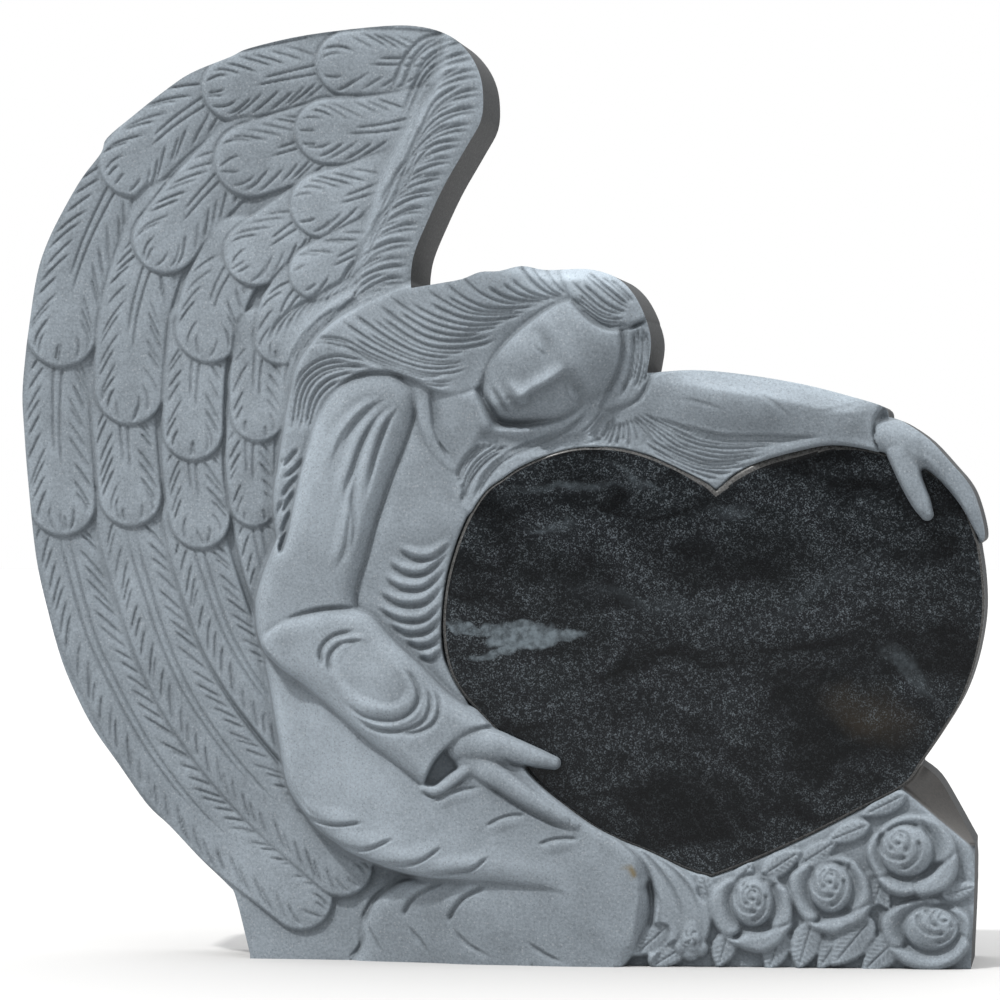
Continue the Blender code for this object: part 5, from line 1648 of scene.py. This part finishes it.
class Heart:
    """Builds the polished heart as a clean turned-over rim around a flat face."""

    LEAST_GAP: ClassVar[float] = 0.2
    FLAT_RING: ClassVar[float] = 1.25
    FLAT_NORMAL: ClassVar[float] = 0.985
    SHARP: ClassVar[float] = math.radians(40)

    def __init__(self, setting: Setting, shape: HeartShape) -> None:
        """Take the sizes.

        Args:
            setting: How the sheet lies on the block.
            shape: Sizes of the heart.
        """
        self.setting = setting
        self.shape = shape

    def build(self) -> bpy.types.Object:
        """Model the heart from a loop of points, drawn up and in ring by ring.

        Returns:
            The heart, linked to the scene.
        """
        path = curve(HEART, 6, closed=True)[:-1]
        path = path[np.hypot(*(np.roll(path, -1, axis=0) - path).T) > self.LEAST_GAP]
        ahead, behind = np.roll(path, -1, axis=0), np.roll(path, 1, axis=0)
        first, second = ahead - path, path - behind
        first /= np.hypot(*first.T)[:, None]
        second /= np.hypot(*second.T)[:, None]
        normal = np.stack([first[:, 1] + second[:, 1], -first[:, 0] - second[:, 0]], axis=-1)
        normal /= (np.hypot(*normal.T) ** 2 / 2.0)[:, None]
        if not inside(*(path[:1] + 2 * normal[:1]).T, np.vstack([path, path[:1]])).all():
            normal = -normal
        width = self.shape.width(*path.T)
        bm = bmesh.new()
        points = np.stack(self._points(path, self.shape.foot), axis=-1)
        ring = [bm.verts.new(p) for p in points]
        number = {vert: i for i, vert in enumerate(ring)}
        for a, b in zip(ring, ring[1:] + ring[:1]):
            bm.edges.new((a, b))
        bm.faces.new(ring)
        loop = bm.edges[:]
        depth = self.shape.rim
        rings = [(0.0, depth)] + [
            (1.0 - math.cos(a), depth - depth * math.sin(a))
            for a in np.linspace(0, math.pi / 2, self.shape.rim_steps + 1)[1:]] + [(self.FLAT_RING, 0.0)]
        for share, low in rings:
            made = bmesh.ops.extrude_edge_only(bm, edges=loop)["geom"]
            loop = [g for g in made if isinstance(g, bmesh.types.BMEdge) and g.is_boundary]
            moved = path + normal * (width * share)[:, None]
            places = np.stack(self._points(moved, self.shape.face - low), axis=-1)
            fresh = {v for v in made if isinstance(v, bmesh.types.BMVert)}
            old = {next(e.other_vert(v) for e in v.link_edges if e.other_vert(v) in number): v
                   for v in fresh}
            number = {v: number[base] for base, v in old.items()}
            for vert, i in number.items():
                vert.co = places[i]
        bmesh.ops.contextual_create(bm, geom=loop)
        bmesh.ops.recalc_face_normals(bm, faces=bm.faces[:])
        for face in bm.faces:
            face.smooth = True
            # Rim faces take the second slot, whose pale colour paints the reflection on the rounded edge.
            face.material_index = int(abs(face.normal.y) < self.FLAT_NORMAL)
        mesh = bpy.data.meshes.new("polished_heart")
        bm.to_mesh(mesh)
        bm.free()
        mesh.set_sharp_from_angle(angle=self.SHARP)
        piece = bpy.data.objects.new("polished_heart", mesh)
        bpy.context.scene.collection.objects.link(piece)
        return piece

    def _points(self, path: Array, height: float) -> tuple[Array, Array, Array]:
        """Points of the block for places on the sheet.

        Args:
            path: Places on the sheet.
            height: Height off the back.

        Returns:
            X, Y and Z in metres.
        """
        return self.setting.place(path[:, 0], path[:, 1], np.full(len(path), height))


class Graph:
    """Adds and joins the shader nodes of one material."""

    def __init__(self, name: str) -> None:
        """Start a material.

        Args:
            name: Name of the material.
        """
        self.material = bpy.data.materials.new(name)
        self.material.use_nodes = True
        self.nodes = self.material.node_tree.nodes
        self.links = self.material.node_tree.links
        self.shader = next(n for n in self.nodes if n.type == 'BSDF_PRINCIPLED')
        self.place = self.nodes.new("ShaderNodeTexCoord").outputs["Object"]

    def put(self, socket: bpy.types.NodeSocket, value: object) -> None:
        """Join an output to a socket, or set a plain value on it.

        Args:
            socket: Input socket.
            value: Output socket, number or colour.
        """
        if isinstance(value, bpy.types.NodeSocket):
            self.links.new(value, socket)
        elif isinstance(value, tuple):
            socket.default_value = value[:len(socket.default_value)]
        else:
            socket.default_value = value

    def math(self, operation: str, a: object, b: object = 0.0) -> bpy.types.NodeSocket:
        """Work out one value from two.

        Args:
            operation: Name of the operation.
            a: First value.
            b: Second value.

        Returns:
            The result.
        """
        node = self.nodes.new("ShaderNodeMath")
        node.operation = operation
        self.put(node.inputs[0], a)
        self.put(node.inputs[1], b)
        return node.outputs[0]

    def span(self, value: object, low: float, high: float, first: float = 0.0,
             last: float = 1.0) -> bpy.types.NodeSocket:
        """Ease a value from one range to another.

        Args:
            value: Value to read.
            low: Where the change starts.
            high: Where it ends.
            first: Result at the start.
            last: Result at the end.

        Returns:
            The eased result.
        """
        node = self.nodes.new("ShaderNodeMapRange")
        node.interpolation_type = 'SMOOTHSTEP'
        for socket, entry in zip(node.inputs, (value, low, high, first, last)):
            self.put(socket, entry)
        return node.outputs[0]

    def noise(self, scale: float, detail: float = 2.0, place: object = None,
              distortion: float = 0.0) -> bpy.types.NodeSocket:
        """Read soft noise.

        Args:
            scale: Waves in a metre.
            detail: Finer layers.
            place: Where to read it, or the object's own place.
            distortion: How far it is drawn about.

        Returns:
            The noise, about 0.5.
        """
        node = self.nodes.new("ShaderNodeTexNoise")
        self.put(node.inputs["Vector"], place or self.place)
        for name, value in (("Scale", scale), ("Detail", detail), ("Distortion", distortion)):
            node.inputs[name].default_value = value
        return node.outputs[0]

    def crystals(self, scale: float, share: float) -> bpy.types.NodeSocket:
        """Mark a share of the stone's crystals.

        Args:
            scale: Crystals in a metre.
            share: Share of them that is marked.

        Returns:
            1 in the marked crystals and 0 elsewhere.
        """
        node = self.nodes.new("ShaderNodeTexVoronoi")
        self.put(node.inputs["Vector"], self.place)
        node.inputs["Scale"].default_value = scale
        split = self.nodes.new("ShaderNodeSeparateColor")
        self.put(split.inputs[0], node.outputs["Color"])
        chosen = self.math('LESS_THAN', split.outputs[0], share)
        return self.math('MULTIPLY', chosen, self.span(node.outputs["Distance"], 0.55, 0.40))

    def blend(self, share: object, a: object, b: object) -> bpy.types.NodeSocket:
        """Mix two colours.

        Args:
            share: Share of the second.
            a: First colour.
            b: Second colour.

        Returns:
            The mixed colour.
        """
        node = self.nodes.new("ShaderNodeMix")
        node.data_type = 'RGBA'
        self.put(node.inputs[0], share)
        self.put(node.inputs[6], a)
        self.put(node.inputs[7], b)
        return node.outputs[2]

    def value(self, name: str) -> bpy.types.NodeSocket:
        """Read a value that the piece's mesh carries."""
        node = self.nodes.new("ShaderNodeAttribute")
        node.attribute_name = name
        return node.outputs["Fac"]

    def scaled(self, colour: object, share: object) -> bpy.types.NodeSocket:
        """Make a colour darker or lighter.

        Args:
            colour: Colour to change.
            share: Value that it is multiplied by.

        Returns:
            The changed colour.
        """
        node = self.nodes.new("ShaderNodeVectorMath")
        node.operation = 'SCALE'
        self.put(node.inputs[0], colour)
        self.put(node.inputs["Scale"], share)
        return node.outputs[0]

    def bump(self, height: object, strength: float, reach: float) -> None:
        """Give the surface a fine grain.

        Args:
            height: Height of the grain.
            strength: How strongly it shows.
            reach: Metres that the height spans.
        """
        node = self.nodes.new("ShaderNodeBump")
        node.inputs["Strength"].default_value = strength
        node.inputs["Distance"].default_value = reach
        self.put(node.inputs["Height"], height)
        self.put(self.shader.inputs["Normal"], node.outputs[0])

    def spot(self, setting: Setting, place: Point, drawn: object,
             crisp: float = 0.1) -> bpy.types.NodeSocket:
        """Mark a long soft spot of the front, given on the sheet.

        Args:
            setting: How the sheet lies on the block.
            place: Place (u, v), half length and half width in units, and tilt in degrees.
            drawn: Drawn-about place to read.
            crisp: How sharply it ends, from 0 to 1.

        Returns:
            1 in its middle, 0 outside it.
        """
        u, v, length, width, turn = place
        x, _, z = setting.place(np.array(float(u)), np.array(float(v)), np.array(HeartShape.face))
        node = self.nodes.new("ShaderNodeMapping")
        node.vector_type = 'TEXTURE'
        self.put(node.inputs["Vector"], drawn)
        node.inputs["Location"].default_value = (float(x), 0.0, float(z))
        node.inputs["Rotation"].default_value = (0.0, math.radians(turn), 0.0)
        node.inputs["Scale"].default_value = (length * setting.unit, FAR, width * setting.unit)
        size = self.nodes.new("ShaderNodeVectorMath")
        size.operation = 'LENGTH'
        self.put(size.inputs[0], node.outputs[0])
        return self.span(size.outputs["Value"], 1.0, crisp)

    def drawn(self, scale: float, reach: float) -> bpy.types.NodeSocket:
        """Draw the object's place about, so that marks get uneven rims.

        Args:
            scale: Waves in a metre.
            reach: How far, in metres.

        Returns:
            The drawn-about place.
        """
        node = self.nodes.new("ShaderNodeTexNoise")
        self.put(node.inputs["Vector"], self.place)
        node.inputs["Scale"].default_value = scale
        node.inputs["Detail"].default_value = 3.0
        middle = self.nodes.new("ShaderNodeVectorMath")
        middle.operation = 'SUBTRACT'
        self.put(middle.inputs[0], node.outputs[1])
        middle.inputs[1].default_value = (0.5, 0.5, 0.5)
        added = self.nodes.new("ShaderNodeVectorMath")
        added.operation = 'ADD'
        self.put(added.inputs[0], self.place)
        self.put(added.inputs[1], self.scaled(middle.outputs[0], reach))
        return added.outputs[0]


@dataclass(frozen=True)
class FrostedGranite:
    """Sandblasted blue-grey granite: pale, dull and finely speckled."""

    colour: Point = (0.146, 0.169, 0.190, 1.0)
    pale: Point = (0.27, 0.29, 0.31, 1.0)
    dark: Point = (0.060, 0.070, 0.078, 1.0)
    rust: Point = (0.115, 0.090, 0.045, 1.0)
    # Warm dark colour of the glossy slope by the roses: the stone's own dark polish, with its brown cast a
    # painted reflection.
    honed: Point = (0.017, 0.0150, 0.0128, 1.0)
    roughness: float = 0.86
    # Spots (u, v, half length, half width, tilt, amount) that shift the tone. Painted light: the crown of
    # the hair, the top of the far arm, and the sleeve, forearm, thigh and lower leg. Painted shade: the top
    # of the wing. The spot over the roses darkens them.
    painted_light_and_tone_spots: tuple[Point, ...] = (
        (350, 90, 230, 120, -12, -0.10), (340, 740, 210, 120, 50, 0.34), (330, 470, 130, 75, 80, 0.26),
        (570, 274, 115, 28, 2, 0.85), (770, 388, 150, 24, 6, 0.40), (860, 900, 170, 90, -15, -0.12),
        (480, 870, 190, 60, 4, 0.26))

    def make(self, setting: Setting) -> bpy.types.Material:
        """Build the material.

        Args:
            setting: How the sheet lies on the block.

        Returns:
            The frosted granite.
        """
        g = Graph("frosted_granite")
        fine, clouds, wide = g.noise(400, 4), g.noise(34, 4), g.noise(7, 2)
        tone = g.math('ADD', g.span(fine, 0.3, 0.7, 0.87, 1.13),
                      g.span(clouds, 0.3, 0.7, -0.08, 0.08))
        tone = g.math('ADD', tone, g.span(wide, 0.3, 0.7, -0.05, 0.05))
        drawn = g.drawn(9, 0.03)
        # Painted light and shade, and tone, from the spots listed above.
        for *place, amount in self.painted_light_and_tone_spots:
            tone = g.math('ADD', tone, g.math('MULTIPLY', g.spot(setting, place, drawn, 0.0), amount))
        colour = g.scaled(self.colour, tone)
        colour = g.blend(g.math('MULTIPLY', g.crystals(460, 0.08), 0.30), colour, self.pale)
        colour = g.blend(g.math('MULTIPLY', g.crystals(560, 0.12), 0.30), colour, self.dark)
        # Painted shade: darker in hollows and grooves. Painted light and frosting wear: lighter on crests.
        hollow = g.value("hollow")
        colour = g.scaled(colour, g.span(hollow, -0.55, 0.45, 0.76, 1.12))
        colour = g.blend(g.value("stain"), colour, self.rust)
        gloss = g.value("gloss")
        # Glossy slope: dark polished stone, its brown cast a painted reflection.
        polished = g.scaled(self.honed, g.span(fine, 0.25, 0.75, 0.5, 1.5))
        g.put(g.shader.inputs["Base Color"], g.blend(gloss, colour, polished))
        g.put(g.shader.inputs["Roughness"], g.span(gloss, 0.0, 1.0, self.roughness, 0.40))
        g.shader.inputs["Specular IOR Level"].default_value = 0.25
        grain = g.math('ADD', fine, g.math('MULTIPLY', g.noise(1100, 2), 0.6))
        g.bump(g.math('MULTIPLY', grain, g.span(gloss, 0.0, 1.0, 1.0, 0.05)), 0.45, 0.0009)
        return g.material


@dataclass(frozen=True)
class HonedGranite:
    """Sawn and honed granite of the walls, back and underside: darker and half dull."""

    name: str = "honed_granite"
    colour: Point = (0.018, 0.020, 0.022, 1.0)
    pale: Point = (0.07, 0.08, 0.085, 1.0)
    roughness: float = 0.60

    def make(self) -> bpy.types.Material:
        """Build the material.

        Returns:
            The honed granite.
        """
        g = Graph(self.name)
        fine = g.noise(430, 3)
        colour = g.scaled(self.colour, g.span(fine, 0.25, 0.75, 0.6, 1.4))
        colour = g.blend(g.math('MULTIPLY', g.crystals(520, 0.14), 0.5), colour, self.pale)
        g.put(g.shader.inputs["Base Color"], colour)
        g.put(g.shader.inputs["Roughness"], g.span(fine, 0.3, 0.7, self.roughness - 0.06,
                                                   self.roughness + 0.08))
        g.shader.inputs["Specular IOR Level"].default_value = 0.20
        g.bump(fine, 0.12, 0.0006)
        return g.material


@dataclass(frozen=True)
class PolishedGranite:
    """Mirror-polished dark granite with pale grains, soft veins and a pale streak."""

    colour: Point = (0.0042, 0.0050, 0.0058, 1.0)
    grain: Point = (0.080, 0.094, 0.105, 1.0)
    vein: Point = (0.100, 0.122, 0.138, 1.0)
    brown: Point = (0.022, 0.017, 0.011, 1.0)
    roughness: float = 0.07
    specular: float = 0.13
    streaks: tuple[Point, ...] = (
        (522, 634, 44, 14, -3, 1.0, 0.75), (470, 626, 34, 5, 3, 0.9, 0.6), (500, 648, 34, 6, -16, 0.9, 0.6),
        (566, 634, 26, 5, 4, 0.9, 0.6), (565, 490, 90, 7, -5, 0.30, 0.1), (635, 478, 40, 6, 24, 0.28, 0.1),
        (556, 530, 36, 5, -5, 0.30, 0.1), (905, 668, 52, 14, 45, 0.30, 0.1),
        (730, 512, 34, 16, 10, 0.18, 0.1), (640, 600, 120, 12, 12, 0.10, 0.1),
        (820, 590, 90, 12, -30, 0.10, 0.1))
    brown_zone: Point = (868, 716, 62, 34, 20)
    flow_tilt: float = 10.0

    def make(self, setting: Setting) -> bpy.types.Material:
        """Build the material.

        Args:
            setting: How the sheet lies on the block.

        Returns:
            The polished granite.
        """
        g = Graph("polished_granite")
        drawn = g.drawn(22, 0.045)
        flow = g.nodes.new("ShaderNodeMapping")
        g.put(flow.inputs["Vector"], g.drawn(5, 0.16))
        flow.inputs["Rotation"].default_value = (0.0, math.radians(self.flow_tilt), 0.0)
        flow.inputs["Scale"].default_value = (0.32, 1.0, 1.0)
        clouds = g.noise(24, 5, flow.outputs[0], 0.6)
        colour = g.scaled(self.colour, g.span(clouds, 0.3, 0.7, 0.5, 1.6))
        zone = g.spot(setting, self.brown_zone, drawn)
        colour = g.blend(g.math('MULTIPLY', zone, 0.5), colour, self.brown)
        grains = g.math('MULTIPLY', g.span(g.noise(760, 4), 0.46, 0.68),
                        g.span(g.noise(190, 4), 0.36, 0.64, 0.15, 1.0))
        speckle = g.math('MULTIPLY', grains, g.span(clouds, 0.36, 0.66, 0.12, 0.90))
        colour = g.blend(speckle, colour, self.grain)
        veins = g.span(g.noise(160, 3), 0.35, 0.75, 0.35, 1.0)
        for *place, strength, crisp in self.streaks:
            streak = g.math('MULTIPLY', g.spot(setting, place, drawn, crisp), strength)
            share = g.math('MULTIPLY', streak, veins)
            colour = g.blend(share, colour, self.vein)
        g.put(g.shader.inputs["Base Color"], colour)
        g.shader.inputs["Specular IOR Level"].default_value = self.specular
        g.put(g.shader.inputs["Roughness"], g.span(g.noise(300, 2), 0.3, 0.7, self.roughness,
                                                   self.roughness + 0.05))
        g.bump(g.noise(60, 2), 0.03, 0.0004)
        return g.material


@dataclass(frozen=True)
class PaleFloor:
    """Plain pale floor."""

    colour: Point = (0.37, 0.37, 0.37, 1.0)
    roughness: float = 0.8

    def make(self) -> bpy.types.Material:
        """Build the material.

        Returns:
            The floor's material.
        """
        g = Graph("pale_floor")
        g.shader.inputs["Base Color"].default_value = self.colour
        g.shader.inputs["Roughness"].default_value = self.roughness
        return g.material


@dataclass(frozen=True)
class Studio:
    """Plain floor, soft daylight from the upper left and the viewer's camera."""

    floor_size: float = 60.0
    low: float = 0.25
    high: float = 2.95
    sky: float = 1.0
    key: float = 3.4
    key_angle: float = math.radians(3)
    key_from: Point = (-0.36, -0.46, 0.80)
    key_colour: Point = (1.0, 0.985, 0.965)
    sensor: float = 36.0
    frame_units: float = 1000.0
    farthest: float = 200.0

    def build(self, setting: Setting) -> None:
        """Set up the floor, the light, the world and the camera.

        Args:
            setting: Where the viewer stands.
        """
        bm = bmesh.new()
        bmesh.ops.create_grid(bm, x_segments=1, y_segments=1, size=self.floor_size / 2)
        mesh = bpy.data.meshes.new("floor")
        bm.to_mesh(mesh)
        bm.free()
        floor = bpy.data.objects.new("floor", mesh)
        mesh.materials.append(PaleFloor().make())
        bpy.context.scene.collection.objects.link(floor)
        self._light()
        self._world()
        camera = bpy.data.cameras.new("viewer")
        camera.sensor_width = self.sensor
        camera.lens = self.sensor * setting.reach_units / self.frame_units
        camera.clip_end = self.farthest
        item = bpy.data.objects.new("viewer", camera)
        item.location = setting.eye
        look = (setting.target - setting.eye).to_track_quat('-Z', 'Y')
        item.rotation_euler = look.to_euler()
        bpy.context.scene.collection.objects.link(item)
        bpy.context.scene.camera = item
        bpy.context.scene.view_settings.view_transform = 'Standard'

    def _light(self) -> None:
        """Set up the key light."""
        light = bpy.data.lights.new("key", 'SUN')
        light.energy = self.key
        light.angle = self.key_angle
        light.color = self.key_colour
        item = bpy.data.objects.new("key", light)
        item.rotation_euler = Vector(self.key_from).to_track_quat('Z', 'Y').to_euler()
        bpy.context.scene.collection.objects.link(item)

    def _world(self) -> None:
        """Set up a pale sky, brightest overhead, that shows white behind the object."""
        world = bpy.data.worlds.new("daylight")
        world.use_nodes = True
        nodes, links = world.node_tree.nodes, world.node_tree.links
        ground = next(n for n in nodes if n.type == 'BACKGROUND')
        ground.inputs["Color"].default_value = (1.0, 1.0, 1.0, 1.0)
        way = nodes.new("ShaderNodeSeparateXYZ")
        links.new(nodes.new("ShaderNodeTexCoord").outputs["Generated"], way.inputs[0])
        dome = nodes.new("ShaderNodeMapRange")
        links.new(way.outputs["Z"], dome.inputs[0])
        dome.inputs[3].default_value = self.low
        dome.inputs[4].default_value = self.high
        path = nodes.new("ShaderNodeLightPath")
        ease = nodes.new("ShaderNodeMapRange")
        links.new(path.outputs["Is Camera Ray"], ease.inputs[0])
        links.new(dome.outputs[0], ease.inputs[3])
        ease.inputs[4].default_value = self.sky
        links.new(ease.outputs[0], ground.inputs["Strength"])
        bpy.context.scene.world = world


@dataclass(frozen=True)
class Share:
    """One of the pieces that the block is modelled in: its side of the seams and its detail.

    It runs on past a seam for `overlap` steps of the sheet and sinks there by `sink` per unit, and
    its back lies `inset` metres within the block's.
    """

    name: str
    triangles: int
    inset: float
    seams: tuple[tuple[Line, float], ...]
    overlap: float = 3.0
    sink: float = 0.25

    def region(self, sheet: Sheet, height: Array) -> tuple[Array, Array]:
        """Find this piece's part of the sheet; it ends just below the surface of the next piece.

        Args:
            sheet: Carved sheet.
            height: Height of the carved surface.

        Returns:
            True for each place that it holds, and the height there.
        """
        held = np.full(sheet.u.shape, True)
        sunk = height.copy()
        for seam, side in self.seams:
            path = curve(seam, 4)
            gap, _, turn = nearest(sheet.u, sheet.v, path)
            past = np.where(turn * side > 0, 0.0, gap)
            held &= past < self.overlap * sheet.step
            sunk -= self.sink * past
        return held, sunk


WING_SEAM: Line = (
    (760, 8), (560, 150), (440, 262), (411, 288), (385, 296), (357, 310), (330, 325), (312, 345),
    (300, 375), (290, 410), (283, 450), (280, 490), (276, 530), (268, 570), (260, 616), (262, 640),
    (272, 690), (283, 760), (294, 812), (326, 843), (340, 855), (362, 880), (368, 910), (360, 945),
    (360, 1010))
BLOOM_SEAM: Line = (
    (1020, 742), (960, 742), (900, 760), (760, 810), (700, 830), (648, 848), (641, 866), (652, 900),
    (648, 940), (632, 966), (618, 992), (612, 1010))


def dress(piece: bpy.types.Object, finishes: Sequence[bpy.types.Material]) -> None:
    """Give a piece its finishes and its place in the frame.

    Args:
        piece: Finished piece.
        finishes: Materials in slot order.
    """
    for finish in finishes:
        piece.data.materials.append(finish)
    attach(piece, "root")
    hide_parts(NODE)
    LOG.info("%s: %d triangles", piece.name, sum(len(p.vertices) - 2 for p in piece.data.polygons))


def main() -> None:
    """Carve the sheet, build the block and the heart, dress them and set up the studio."""
    setting, shape = Setting(), HeartShape()
    sheet = Sheet(step=1.3)
    for part in (Wing(), Figure(shape)):
        part.carve(sheet)
        LOG.info("%s carved", type(part).__name__)
    height = np.minimum(sheet.height, setting.full_relief)
    builder = BlockBuilder(setting)
    frosted, honed = FrostedGranite().make(setting), HonedGranite().make()
    for share in (Share("carved_wing", 185000, 0.0003, ((WING_SEAM, 1.0),)),
                  Share("carved_figure", 185000, 0.0, ((WING_SEAM, -1.0), (BLOOM_SEAM, 1.0))),
                  Share("carved_flowers", 120000, 0.0003, ((BLOOM_SEAM, -1.0),))):
        held, sunk = share.region(sheet, height)
        surface = builder.surface(sheet, sunk, held)
        dress(builder.close(builder.thin(surface, share.triangles), share), (frosted, honed))
    # Pale honed granite for the heart's rounded rim: its light colour is a painted reflection of the sky on
    # the polished edge.
    reflection_bevel = HonedGranite("bevel_painted_reflection", (0.050, 0.050, 0.049, 1.0), (0.11, 0.115, 0.12, 1.0), 0.28)
    dress(Heart(setting, shape).build(), (PolishedGranite().make(setting), reflection_bevel.make()))
    Studio().build(setting)


if __name__ == "__main__":
    logging.basicConfig(level=logging.INFO, format="%(name)s: %(message)s")
    main()
